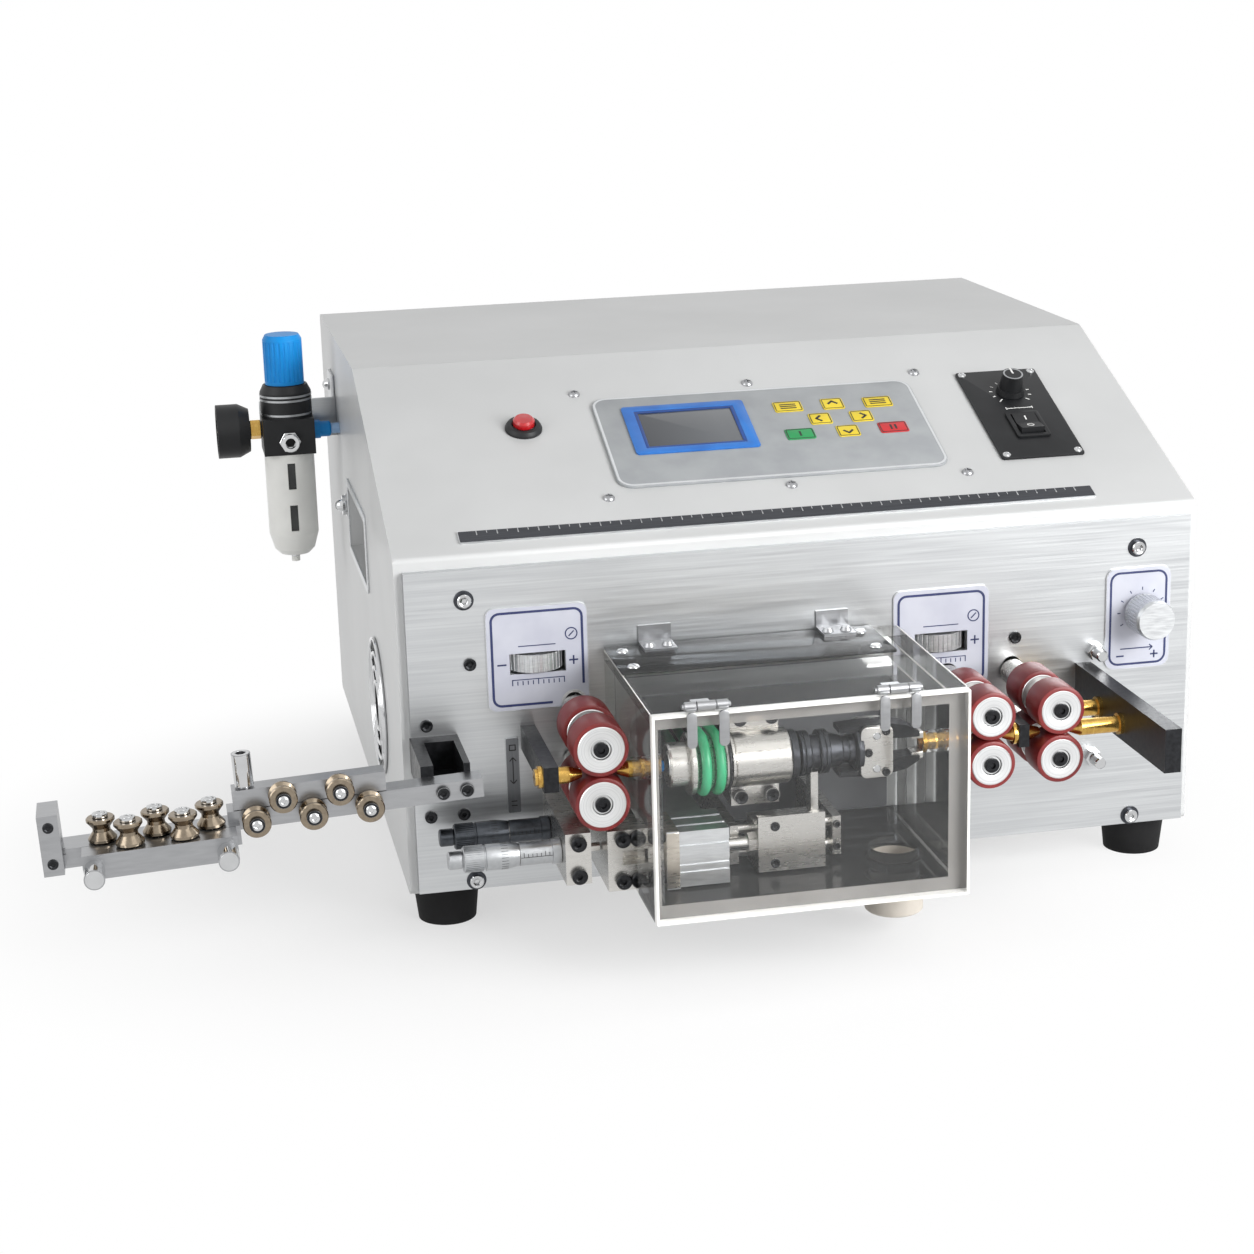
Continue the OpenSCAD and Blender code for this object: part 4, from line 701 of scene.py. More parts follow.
# %% [markdown]
# ## Console
# The console carries a membrane keypad with a small display, a black dial plate and a steel rule. Their
# print is made as thin raised shapes, which stay sharp from any distance. A frame is a plate with its
# opening cut out by another.

# %% Print and frame helpers
PRINT_T = 0.08


def cut(piece, cutter):
    """Takes the cutter's volume out of a piece and removes the cutter."""
    modified(piece, "BOOLEAN", object=cutter, operation="DIFFERENCE")
    bpy.data.objects.remove(cutter)
    return piece


def frame_of(width, height, corner, opening, thick, edge=0):
    """A flat frame with rounded corners round an opening of the given width and height."""
    inner = max(corner - (height - opening[1]) / 2, 0)
    piece = cut(plate(width, height, thick, corner), moved(plate(*opening, 3 * thick, inner), 0, 0, -thick))
    return eased(piece, edge)


def line_round(width, height, corner, line):
    """A printed line, so wide, just inside a rectangle with rounded corners."""
    return frame_of(width, height, corner, (width - 2 * line, height - 2 * line), PRINT_T)


def printed(bars):
    """Print made of bars, each given as x, y, width, height and turn."""
    return joined([moved(plate(w, h, PRINT_T, 0), x, y, 0, turn) for x, y, w, h, turn in bars])


def spoke(radius, angle, length, width, x=0, y=0):
    """A bar that points away from a middle, so far out and at so many degrees."""
    turn = math.radians(angle)
    return x + radius * math.cos(turn), y + radius * math.sin(turn), length, width, angle


def minus_plus(x, y, size):
    """The bars of a minus on the left and a plus on the right."""
    return [(-x, y, size, 0.8, 0), (x, y, size, 0.8, 0), (x, y, 0.8, size, 0)]


print("print helpers ready")

# %% Inks


def ink(name, dark, light, roughness=0.5):
    """Screen ink on film: flat and quite matt, with the film's own slight grain."""
    return grained(name, dark, light, roughness, 0.6, 0.05)


ink_black = ink("black_screen_ink", "#141414", "#1C1C1D")
ink_white = ink("white_screen_ink", "#E4E4E2", "#EEEEEC")
ink_navy = ink("navy_screen_ink", "#20284F", "#2A3361")
# The film of the borders and keys is printed from behind, so it is smoother than ink
film_pale = ink("polyester_film_pale", "#C6C8CA", "#CED0D2", 0.42)
key_yellow = ink("yellow_key_film", "#D8BE2B", "#E6CE3D", 0.4)
key_green = ink("green_key_film", "#1E8A4C", "#2A9A58", 0.4)
key_red = ink("red_key_film", "#B62329", "#C62D31", 0.4)
print("inks ready")

# %% [markdown]
# The keypad is a grey film on a thin plate. A paler line runs round it, the display has a blue frame, and
# eight keys stand up slightly: four with arrows, two wide ones, and a green and a red one for start and
# stop.

# %% Keypad plate and display
KEYPAD, KEYPAD_W, KEYPAD_H, KEYPAD_T = (2, 85), 170, 81, 1.5
DISPLAY, SCREEN_W, SCREEN_H = (-39, 7.7), 50, 33
# Where the display's painted reflection runs from dark to pale, in millimetres across the machine
SHINE_FROM, SHINE_TO = -65, -10


def on_keypad(x, y, out=KEYPAD_T):
    """On the keypad's face, measured from its middle."""
    return on_slope(KEYPAD[0] + x, KEYPAD[1] + y, out)


# Liquid crystal under a clear window: dark grey and glossy, with a painted reflection that makes it paler to
# the right
screen_glass, tree, shader, place = finish("display_window", Roughness=0.09, Coat_Weight=0.5)
across = add(tree, "SeparateXYZ", {0: place})
share = add(tree, "MapRange", {"Value": across.outputs["X"], "From Min": at(SHINE_FROM, 0, 0).x,
                               "From Max": at(SHINE_TO, 0, 0).x})
stops = [(0.1, "#3A3D42"), (0.8, "#5B5E62")]
tone = add(tree, "ValToRGB", {"Fac": share.outputs["Result"]}, stops=stops)
feed(tree, shader, Base_Color=tone.outputs["Color"])
# Acrylic lacquer on the display's frame: clear blue, and navy inside
frame_blue = grained("blue_display_frame", "#1F63B4", "#2A75C6", 0.35, 0.7, 0.06)
frame_navy = grained("navy_display_rim", "#173A78", "#1C4488", 0.4, 0.7, 0.06)

keypad = plate(KEYPAD_W, KEYPAD_H, KEYPAD_T, 8, 0.4)
carried(keypad, "keypad_plate", on_keypad(0, 0, 0), film_grey)
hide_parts("console_plates")
carried(line_round(KEYPAD_W - 1, KEYPAD_H - 1, 7.6, 1.2), "keypad_border", on_keypad(0, 0), film_pale)
bezel = frame_of(SCREEN_W + 14, SCREEN_H + 10.5, 2, (SCREEN_W + 2, SCREEN_H + 1), 1.0, 0.25)
carried(bezel, "display_frame", on_keypad(*DISPLAY), frame_blue)
rim = frame_of(SCREEN_W + 3, SCREEN_H + 2, 1, (SCREEN_W - 1.5, SCREEN_H - 2), 0.8, 0.15)
carried(rim, "display_rim", on_keypad(*DISPLAY), frame_navy)
screen = plate(SCREEN_W, SCREEN_H, 0.35, 0.8, 0.1)
carried(screen, "display_screen", on_keypad(*DISPLAY), screen_glass)
print("keypad plate and display made")

# %% Keys
KEY_T = 0.5
WIDE_KEY, SQUARE_KEY = (15, 9.5), (11.5, 10)
KEY_INSET, KEY_LINE = 0.5, 0.45
keys = [(15.5, 20.8, WIDE_KEY, key_yellow, "left_page"), (63.3, 20.0, WIDE_KEY, key_yellow, "right_page"),
        (39.3, 20.8, SQUARE_KEY, key_yellow, "up"), (29.4, 7.7, SQUARE_KEY, key_yellow, "left"),
        (51.3, 7.7, SQUARE_KEY, key_yellow, "right"), (40.8, -5.0, SQUARE_KEY, key_yellow, "down"),
        (15.6, -5.0, WIDE_KEY, key_green, "start"), (64.9, -4.4, WIDE_KEY, key_red, "stop")]
# A chevron is two bars that meet in a point; the turn says where it points
chevron = [(1.0, 1.15, 4.0, 1.2, -45), (1.0, -1.15, 4.0, 1.2, 45)]
page = [(0, rise, 8.5, 0.8, 0) for rise in (1.7, 0, -1.7)]
key_marks = {"start": [(0, 0, 1.1, 4.2, 0)], "stop": [(side, 0, 1.1, 4.2, 0) for side in (-1.2, 1.2)],
             "left_page": page, "right_page": page}
key_turns = {"right": 0, "up": 90, "left": 180, "down": 270}
for x, y, (width, height), film, label in keys:
    top = on_keypad(x, y, KEYPAD_T + KEY_T)
    line = line_round(width - 2 * KEY_INSET, height - 2 * KEY_INSET, 0.9, KEY_LINE)
    mark = moved(printed(key_marks.get(label, chevron)), 0, 0, 0, key_turns.get(label, 0))
    carried(plate(width, height, KEY_T, 1.2, 0.15), f"key_{label}", on_keypad(x, y), film)
    carried(line, f"key_{label}_line", top, ink_black)
    carried(mark, f"key_{label}_mark", top, ink_black)
print("keys:", len(keys))

# %% [markdown]
# The dial plate is black moulded plastic with four small screws. White ticks run round the speed knob, and
# a raised frame holds the rocker. The push button sits in a black bezel that is turned to a soft cone.

# %% Dial plate and bezel
DIAL, SPEED, ROCKER, BUTTON = (136.5, 87), (138, 106), (137, 74), (-120.7, 104)
DIAL_W, DIAL_H, DIAL_T, SCREW_IN = 44, 82, 1.5, 3
ROCKER_W, ROCKER_H, ROCKER_RIM = 18, 23, 2.3
dial_plate = plate(DIAL_W, DIAL_H, DIAL_T, 1.5, 0.4)
carried(dial_plate, "dial_plate", on_slope(*DIAL), black_plastic)
opening = (ROCKER_W - 2 * ROCKER_RIM, ROCKER_H - 2 * ROCKER_RIM)
rocker_frame = frame_of(ROCKER_W, ROCKER_H, 1.5, opening, 1.5, 0.3)
carried(rocker_frame, "rocker_frame", on_slope(*ROCKER, DIAL_T), black_plastic)
ticks = [spoke(10.2, 225 - 27 * step, 1.7 if step % 5 else 2.6, 0.55) for step in range(11)]
carried(printed(ticks), "dial_ticks", on_slope(*SPEED, DIAL_T), ink_white)
carried(printed([(0, 0, 14, 0.5, 0), (-7, 0, 0.5, 2, 0), (7, 0, 0.5, 2, 0)]), "dial_line",
        on_slope(SPEED[0], SPEED[1] - 15.2, DIAL_T), ink_white)
bezel = turned([(5.9, 0), (9.5, 0), (9.5, 0.9), (9.2, 1.5), (8.4, 2.8), (7.6, 3.1), (6.3, 3.1), (5.9, 2.7),
                (5.9, 0)], 64)
carried(bezel, "button_bezel", on_slope(*BUTTON), black_plastic)
dial_screw = turned([(0, 0.5), (0.9, 0.5), (1.1, 1.0), (1.5, 0.9), (2.1, 0.4), (2.2, 0), (0, 0)], 20)
corners = [(DIAL[0] + side * (DIAL_W / 2 - SCREW_IN), DIAL[1] + end * (DIAL_H / 2 - SCREW_IN))
           for side in (-1, 1) for end in (-1, 1)]
for count, (piece, corner) in enumerate(zip(copies(dial_screw, len(corners)), corners), 1):
    carried(piece, f"dial_screw_{count}", on_slope(*corner, DIAL_T), chrome)
print("dial plate made, ticks:", len(ticks))

# %% [markdown]
# ## Scales on the panel
# Two pale film plates frame the windows of the thumbwheels, and a narrower one stands behind the pressure
# knob. Each has a navy line round it, ticks, and a minus and a plus. The film is a plate with its window
# cut by a Boolean modifier.

# %% Scale plates
SCALE_W, SCALE_H, SCALE_T, FILM_T = 48.4, 50.4, 1.0, 0.12
INK_OUT = SCALE_T + FILM_T
WINDOW = (27, 10.2)
TICK_STEP, TICKS_LEFT = 2.5, -12.5
SIGN = (16.5, 10.6)
# Each scale's place, how far its window sits below its middle, and where a roller's shaft and wheel pass
scales = {"left": ((-134, 136.5), 2.5, (17, -23.5), 15), "right": ((66.5, 128.8), 1.8, (3, -19.0), 3)}
# Polyester film with a lavender print: satin and cool
film_white = ink("polyester_film_lavender", "#B1B3BF", "#BBBDC7", 0.42)
for side, (place, drop, shaft, wheel) in scales.items():
    film = cut(plate(SCALE_W, SCALE_H, FILM_T, 3.8), moved(plate(*WINDOW, 4, 0), 0, -drop, -2))
    cut(film, moved(disc(6.2, -2, 2, 32), *shaft))
    line = line_round(SCALE_W - 3.6, SCALE_H - 3.6, 4.5, 1.2)
    cut(line, moved(plate(17, 17, 1, 0), wheel, -23, -0.5))
    marks = [(TICKS_LEFT + TICK_STEP * n, -drop - (9.6 if n % 5 else 9.2), 0.5, 2.0 if n % 5 else 3.0, 0)
             for n in range(11)]
    marks += [(0, -drop - 7.9, 25.5, 0.45, 0), (-0.2, -drop + 8.6, 18, 0.5, 0), (*SIGN, 3.6, 0.6, 45)]
    marks += minus_plus(17.3, -drop, 4.4)
    ring = moved(tube(2.5, 3.1, 0, PRINT_T, 32), *SIGN)
    carried(film, f"{side}_scale_film", on_panel(*place, SCALE_T), film_white)
    for piece, label in ((line, "line"), (printed(marks), "marks"), (ring, "ring")):
        carried(piece, f"{side}_scale_{label}", on_panel(*place, INK_OUT), ink_navy)
    print("made", side, "scale")

# %% Pressure plate
PRESSURE, PRESSURE_W, PRESSURE_H, KNOB = (169, 131), 33.4, 51.4, (2, 3)
film = cut(plate(PRESSURE_W, PRESSURE_H, FILM_T, 4.8), moved(disc(3.6, -2, 2, 32), *KNOB))
carried(film, "pressure_film", on_panel(*PRESSURE, SCALE_T), film_white)
line = line_round(PRESSURE_W - 3.2, PRESSURE_H - 3.2, 5, 1.1)
carried(line, "pressure_line", on_panel(*PRESSURE, INK_OUT), ink_navy)
marks = [spoke(12.1, 210 - 30 * step, 1.6, 0.5, *KNOB) for step in range(9)]
marks += [(-0.5, -15.6, 17, 0.6, 0), (7.2, -14.9, 2.2, 0.6, -40), (7.2, -16.3, 2.2, 0.6, 40)]
marks += minus_plus(9, -19.3, 4)
carried(printed(marks), "pressure_marks", on_panel(*PRESSURE, INK_OUT), ink_navy)
print("pressure plate made, marks:", len(marks))

# %% [markdown]
# The rule on the console is a blackened strip with pale engraved ticks every five millimetres. One tick is
# modelled, and an Array modifier repeats it along the strip.

# %% Rule and side strip
RULE, RULE_W, RULE_H, SCALE_HALF = (-8, 13.5), 317.4, 8.4, 150
STRIP, STRIP_W, STRIP_H = (-148, 78.5), 6.2, 37.6
# Blackened spring steel, rubbed along its length, and the pale paint in its ticks
rule_dark = worked_metal("blackened_rule", "#33353A", "#44464B", 0.4, 0.06, (20, 1, 1), metallic=0.6)
engraved = grained("engraved_tick_paint", "#A9AAAC", "#B8B9BB", 0.5, 0.8)


def tick_row(width, height, y, step):
    """A row of ticks along the rule, so many millimetres apart."""
    tick = moved(plate(width, height, PRINT_T, 0), -SCALE_HALF, y)
    return modified(tick, "ARRAY", count=2 * SCALE_HALF // step + 1, use_relative_offset=False,
                    use_constant_offset=True, constant_offset_displace=mm(step, 0, 0))


carried(plate(RULE_W, RULE_H, FILM_T, 0.5), "rule_face", on_slope(*RULE, SCALE_T), rule_dark)
rule_ticks = joined([tick_row(0.35, 1.8, 3.0, 5), tick_row(0.5, 3.2, 2.3, 10)])
carried(rule_ticks, "rule_ticks", on_slope(*RULE, INK_OUT), engraved)
# The strip beside the inlet is plain worn steel with dark engraved signs
strip_grey = worked_metal("worn_steel_strip", "#717376", "#808285", 0.42, 0.05, (1, 1, 20), metallic=0.8)
strip_face = plate(STRIP_W, STRIP_H, FILM_T, 0.8)
carried(strip_face, "strip_face", on_panel(*STRIP, SCALE_T), strip_grey)
# A square, an arrow with two heads, and two lines
signs = [(0, 15.4, 3.2, 0.5, 0), (0, 12.8, 3.2, 0.5, 0), (-1.4, 14.1, 0.5, 2.8, 0), (1.4, 14.1, 0.5, 2.8, 0),
         (0, 2.5, 0.5, 13, 0), (0, -13, 2.8, 0.5, 0), (0, -15.2, 2.8, 0.5, 0)]
signs += [(side * 0.8, y, 2.4, 0.5, side * turn) for y, turn in ((8.2, -50), (-3.2, 50)) for side in (-1, 1)]
carried(printed(signs), "strip_signs", on_panel(*STRIP, INK_OUT), ink_black)
print("rule ticks every 5 mm")

# %% [markdown]
# ## Clear cover
# The cover is glued from cut acrylic sheet, so each wall is its own slab, with holes where nozzles and the
# micrometers pass. The hinged door in front is one sheet whose polished edge has a painted glow. Through it
# we see the sawn ends of the walls.

# %% Cover sheet and its holes
COVER_X, COVER_Y, COVER_Z = (-102, 44), (-110, -5.85), (39.5, 137.5)
(cx0, cx1), (cy0, cy1), (cz0, cz1) = COVER_X, COVER_Y, COVER_Z
COVER_W, COVER_H = cx1 - cx0, cz1 - cz0
COVER_MID_X, COVER_MID_Z = (cx0 + cx1) / 2, (cz0 + cz1) / 2
SHEET = 5
THROUGH = 1
WIRE_Y = -64


def slab(low, high, edge=0):
    """A block between two corners of the machine drawing, with eased edges, already in place."""
    bpy.ops.object.select_all(action="DESELECT")
    bpy.ops.mesh.primitive_cube_add(size=1)
    piece = bpy.context.object
    piece.scale = mm(*(b - a for a, b in zip(low, high)))
    piece.location = at(*((a + b) / 2 for a, b in zip(low, high)))
    bpy.ops.object.transform_apply(location=True, rotation=True, scale=True)
    return eased(piece, edge)


def wire_hole(wall, x, radius):
    """Cuts the hole for a nozzle through a side wall that starts at x."""
    return cut(wall, rod(facing(x - THROUGH, WIRE_Y, WIRE_Z, "+X"), radius, SHEET + 2 * THROUGH))


print("cover:", COVER_W, "by", COVER_H, "mm")

# %% Cover walls
SPOUT, SPOUT_R = (26, -58), 12
NOTCH_Y, NOTCH_TOP = -74.5, 76.5
left_wall = slab((cx0, cy0, cz0 + SHEET), (cx0 + SHEET, cy1, cz1 - SHEET))
cut(left_wall, slab((cx0 - THROUGH, NOTCH_Y, cz0 - THROUGH), (cx0 + SHEET + THROUGH, 0, NOTCH_TOP)))
wire_hole(left_wall, cx0, 5.6)
right_wall = slab((cx1 - SHEET, cy0, cz0 + SHEET), (cx1, cy1, cz1 - SHEET))
wire_hole(right_wall, cx1 - SHEET, 5.4)
base_wall = slab((cx0, cy0, cz0), (cx1, cy1, cz0 + SHEET))
cut(base_wall, rod(upright(*SPOUT, cz0 - THROUGH), SPOUT_R, SHEET + 2 * THROUGH))
cut(base_wall, slab((cx0 - THROUGH, NOTCH_Y, cz0 - THROUGH), (cx0 + SHEET, 0, cz0 + SHEET + THROUGH)))
roof_wall = slab((cx0, cy0, cz1 - SHEET), (cx1, cy1, cz1))
walls = {"left": (left_wall, acrylic), "right": (right_wall, acrylic), "base": (base_wall, smoked_acrylic),
         "roof": (roof_wall, acrylic)}
for name, (piece, sheet) in walls.items():
    in_place(piece, f"cover_{name}_wall", sheet)
    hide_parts("cover_walls")
print("cover walls:", len(walls))

# %% Cover trim
STRIP_TOP = cz1 + 1.5
SPOUT_WALL, SPOUT_LOW, SPOUT_LEN = 2, 12.5, 27
in_place(slab((cx0, -49.85, cz1 + 0.05), (30, cy1, STRIP_TOP), 0.3), "cover_strip", smoked_acrylic)
spout_out = SPOUT_R + SPOUT_WALL
spout = turned([(SPOUT_R, 0), (spout_out - 0.6, 0), (spout_out, 0.6), (spout_out, SPOUT_LEN),
                (SPOUT_R, SPOUT_LEN), (SPOUT_R, 0)], 64)
carried(spout, "scrap_spout", upright(*SPOUT, SPOUT_LOW), sawn_edge)
ends = cut(plate(COVER_W - 0.6, COVER_H - 0.6, 0.25, 0.4), moved(plate(134, 83, 1, 0), -2.5, 0, -0.5))
carried(ends, "cover_wall_ends", facing(COVER_MID_X, cy0 - 0.02, COVER_MID_Z, "-Y"), wall_end)
# Thin strips along the four edges that run back from the door carry the painted glow: painted highlights
rims = [slab((x0, cy0 + 0.1, z - 0.4), (x1, cy1, z + 0.05))
        for x0, x1 in ((cx0 + 0.1, cx0 + 0.5), (cx1 - 0.5, cx1)) for z in (cz0 + 0.4, cz1)]
in_place(joined(rims), "cover_painted_highlight_rims", glow_edge_finish)
# A dark sheet behind the head stands in for the shade inside the cover: painted shade in a dark, nearly matt
# grey
shade_sheet_finish = grained("painted_shade_finish", "#57595D", "#64666A", 0.45, 4.0, 0.01, Specular_IOR_Level=0.5)
back = slab((cx0 + SHEET, -4.9, cz0 + SHEET), (cx1 - SHEET, -4.55, cz1 - SHEET))
cut(back, slab((-75.5, -6, 76.5), (-54.5, -4, 117.5)))
in_place(back, "cover_painted_shade_plate", shade_sheet_finish)
slotted_head = turned([(0, 1.2), (2.2, 1.0), (2.9, 0.3), (3.0, 0), (0, 0)], 28)
cut(slotted_head, moved(plate(7, 0.8, 1, 0), 0, 0, 0.8))
strip_screws = [(x, y) for y in (-16, -42) for x in (-95, 22)]
for number, (head, (x, y)) in enumerate(zip(copies(slotted_head, len(strip_screws)), strip_screws), 1):
    moved(head, 0, 0, 0, 35 * number)
    carried(head, f"strip_screw_{number}", upright(x, y, STRIP_TOP), chrome)
print("cover trim made, strip screws:", len(strip_screws))

# %% Cover door and hinges
DOOR_Y, DOOR_T, DOOR_EDGE = -115.35, 5, 1.2
HINGE_XS, HINGE_Y, HINGE_Z = (-77, 11), -112.5, 140.05
PRONG_HALF, PRONG_W, LEAF_W, LEAF_T = 7.25, 5.5, 4.6, 1.1
door_place = facing(COVER_MID_X, DOOR_Y + DOOR_T, COVER_MID_Z, "-Y")
door = plate(COVER_W - 2.6, COVER_H - 2.6, DOOR_T, 0.2)
carried(door, "door_sheet", door_place, door_acrylic, "cover_door")
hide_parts("cover_door")
opening = (COVER_W - 2 * DOOR_EDGE, COVER_H - 2 * DOOR_EDGE)
door_edge = frame_of(COVER_W, COVER_H, 0.6, opening, DOOR_T, 0.15)
carried(door_edge, "door_edge", door_place, glow_edge_finish, "cover_door")
# One prong is a knuckle, a leaf down the door and a tongue over its top, and a hinge has two
prong = joined([rod(facing(-PRONG_W / 2, HINGE_Y, HINGE_Z, "+X"), 2.2, PRONG_W),
                placed(plate(LEAF_W, 16.5, LEAF_T, 2.0, 0.2), facing(0, DOOR_Y, 130.2, "-Y")),
                placed(plate(LEAF_W, 3.6, LEAF_T, 0.3, 0.2), upright(0, -114.0, 138.9))])
hinge = joined([moved(twin, x, 0) for twin, x in zip(copies(prong, 2), (-PRONG_HALF, PRONG_HALF))])
for number, (prongs, x) in enumerate(zip(copies(hinge, len(HINGE_XS)), HINGE_XS), 1):
    in_place(moved(prongs, x, 0), f"door_hinge_prongs_{number}", drawn_steel, "cover_door")
print("door made with", len(HINGE_XS), "hinges")

# %% [markdown]
# ## Cutting head
# The head is the heart of the machine. A steel nose and pulley turn in a clamped bearing housing, driven by
# two round belts. Behind the housing a collar slides on the spindle, and its cone works two jaws, which
# carry the blades between two cheek plates. Each turned piece is one profile along the wire line.

# %% Head spindle
HEAD = facing(0, WIRE_Y, WIRE_Z, "+X")
BORE = 2
nose = turned([(BORE, -85), (6.2, -85), (6.6, -84.3), (8.3, -84.3), (8.7, -85), (9.6, -85), (10.5, -84.1),
               (10.5, -77), (10.1, -76.6), (10.1, -76.2), (13.9, -76), (14.6, -75.4), (14.6, -73.5),
               (14.2, -73), (13.3, -72.6), (12.2, -71.4), (10.9, -69), (12.2, -66.6), (13.3, -65.6),
               (12.2, -64.6), (10.9, -62.2), (12.2, -59.9), (13.2, -59.2), (13.4, -58.4), (BORE, -58.4),
               (BORE, -85)], 72)
carried(nose, "head_nose", HEAD, machined_steel, "head_rotor")
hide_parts("head_rotor")
ring = turned([(9, -58.4), (14.3, -58.4), (14.5, -58.1), (14.5, -57.4), (14.3, -57.1), (9, -57.1),
               (9, -58.4)], 64)
carried(ring, "head_seal_ring", HEAD, black_steel, "head_rotor")
spindle = turned([(BORE, -57), (8.9, -57), (8.9, -27.6), (11.2, -27.6), (11.5, -27.3), (11.5, -24.5),
                  (11.2, -24.2), (7, -24.2), (7, -2.6), (6.6, -2.2), (6.6, 0.6), (7, 1), (7, 3.6),
                  (10.6, 4.2), (11, 4.6), (11, 6.6), (10.6, 7), (BORE, 7), (BORE, -57)], 64)
carried(spindle, "head_spindle", HEAD, gunmetal, "head_rotor")
print("spindle made")

# %% Cheek plates and pivots
CHEEK_X, CHEEK_T, CHEEK_OFF = 13.2, 3.4, 7.3
CHEEK_FACE = CHEEK_OFF + CHEEK_T / 2
PIVOT_X, PIVOT_RISE, PIVOT_LEN = 13, 8, 19
SOCKET_TURN = 11
cheeks = [facing(CHEEK_X, WIRE_Y + y + CHEEK_T / 2, WIRE_Z, "-Y") for y in (-CHEEK_OFF, CHEEK_OFF)]
cheek = plate(15.6, 25, CHEEK_T, 3.2, 0.4)
repeated(cheek, cheeks, "head_cheeks", machined_steel, "head_rotor")
pins = [facing(PIVOT_X, WIRE_Y - PIVOT_LEN / 2, WIRE_Z + z, "+Y") for z in (-PIVOT_RISE, PIVOT_RISE)]
pin = rod(Matrix.Identity(4), 1.9, PIVOT_LEN, steps=24)
repeated(pin, pins, "jaw_pivot_pins", chrome, "head_rotor")


def cap_screw(radius, height, key=0.42):
    """A socket cap screw standing on Z: chamfered rim, round wall and a hexagon socket, key times as wide."""
    body = turned([(0, 0), (radius, 0), (radius, height - 0.4), (radius - 0.4, height), (0, height)], 28)
    return cut(body, moved(disc(radius * key, 0, 3, 6), 0, 0, height * 0.55, SOCKET_TURN))


def black_screws(name, screw, places, body="machine"):
    """Black cap screws at their places, joined."""
    return repeated(screw, places, name, black_steel, body)


cheek_screws = [facing(x, WIRE_Y - CHEEK_FACE, WIRE_Z + z, "-Y")
                for x, z in ((17.5, 10), (17.5, -10), (9, 0))]
black_screws("cheek_screws", cap_screw(1.9, 1.2), cheek_screws, "head_rotor")
black_screws("housing_screws", cap_screw(3.5, 4.15),
             [facing(x, WIRE_Y + 3, WIRE_Z + z, "-Y") for x in (-50, -35) for z in (-19, 19)])
print("cheeks, pins and screws made")

# %% [markdown]
# Black jaws hold two steel blades, and a grooved collar slides behind them. The air cylinder pushes a fork
# whose finger sits in the groove, so the fork's stroke closes the blades.

# %% Collar, blades and cylinder
COLLAR_X = -23
BLADE_X, BLADE_HALF, BLADE_TIP, BLADE_BACK = (31.4, 37.1), 4.3, 3.3, 6.5
CYLINDER, CYLINDER_BOLT = (-91.1, -74, 59.2), 10
collar = turned([(7.1, 0), (10.1, 0), (10.5, 0.4), (10.5, 1.6), (10.1, 2.0), (10.5, 2.4), (10.5, 4.6),
                 (10.1, 5), (8.2, 5), (8.2, 9.5), (10.1, 9.5), (10.5, 9.9), (10.5, 11.4), (10.1, 11.8),
                 (10.5, 12.2), (10.5, 13.6), (10.1, 14), (9, 14), (7.4, 20), (7.1, 20), (7.1, 0)], 64)
collar_place = facing(COLLAR_X, WIRE_Y, WIRE_Z, "+X")
carried(collar, "collar_body", collar_place, gunmetal, "clamp_collar")
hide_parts("clamp_collar")
for side, body in ((1, "upper_jaw"), (-1, "lower_jaw")):
    low, high = sorted((WIRE_Z + side * BLADE_TIP, WIRE_Z + side * BLADE_BACK))
    blade = slab((BLADE_X[0], WIRE_Y - BLADE_HALF, low), (BLADE_X[1], WIRE_Y + BLADE_HALF, high), 0.25)
    in_place(blade, f"{body}_blade", machined_steel, body)
# Zinc plate with a yellow passivate: pale and slightly warm
zinc_plate = worked_metal("zinc_plate", "#B8B0A4", "#C9C2B7", 0.3, 0.05, (6, 1, 1))
end_plate = eased(placed(plate(28.2, 28.2, 6.2, 1.2), facing(*CYLINDER, "+X")), 0.4)
in_place(end_plate, "cylinder_end_plate", zinc_plate)
cx, cy, cz = CYLINDER
bolts = [facing(cx, cy + y, cz + z, "-X") for y in (-CYLINDER_BOLT, CYLINDER_BOLT)
         for z in (-CYLINDER_BOLT, CYLINDER_BOLT)]
black_screws("cylinder_screws", cap_screw(2.0, 0.9), bolts)
black_screws("slide_stop_screws", cap_screw(1.8, 1.3, 0.38),
             [facing(-5.65, -70, z, "-Y") for z in (51.5, 62.5)])
black_screws("fork_screws", cap_screw(2.2, 0.9), [facing(-38, -80, z, "-Y") for z in (50, 68)], "fork_slide")
print("collar, blades and cylinder made")

# %% [markdown]
# ## Micrometers
# Two micrometer heads set how deep the blades cut. A thimble has a knurled grip and a graduated skirt. One
# ridge of the knurl is modelled, then copied round the axis.

# %% Micrometers
MICRO_Z, THIMBLE_X, SLEEVE_R = 56, -180, 5.5
PIN_OUT, PIN_R, PIN_LEN = 14, 2, 50.6
RIDGES, SKIRT_TICKS = 36, 25
# Satin chrome: the front head is bright, and the rear one is painted darker for the shade it stands in
satin_chrome = worked_metal("satin_chrome", "#A9ABAD", "#B3B5B7", 0.32, 0.02, (2, 2, 2), depth=0.0003)
shaded_chrome = worked_metal("shaded_satin_chrome", "#424549", "#4D5055", 0.34, 0.02, (2, 2, 2), depth=0.0003)


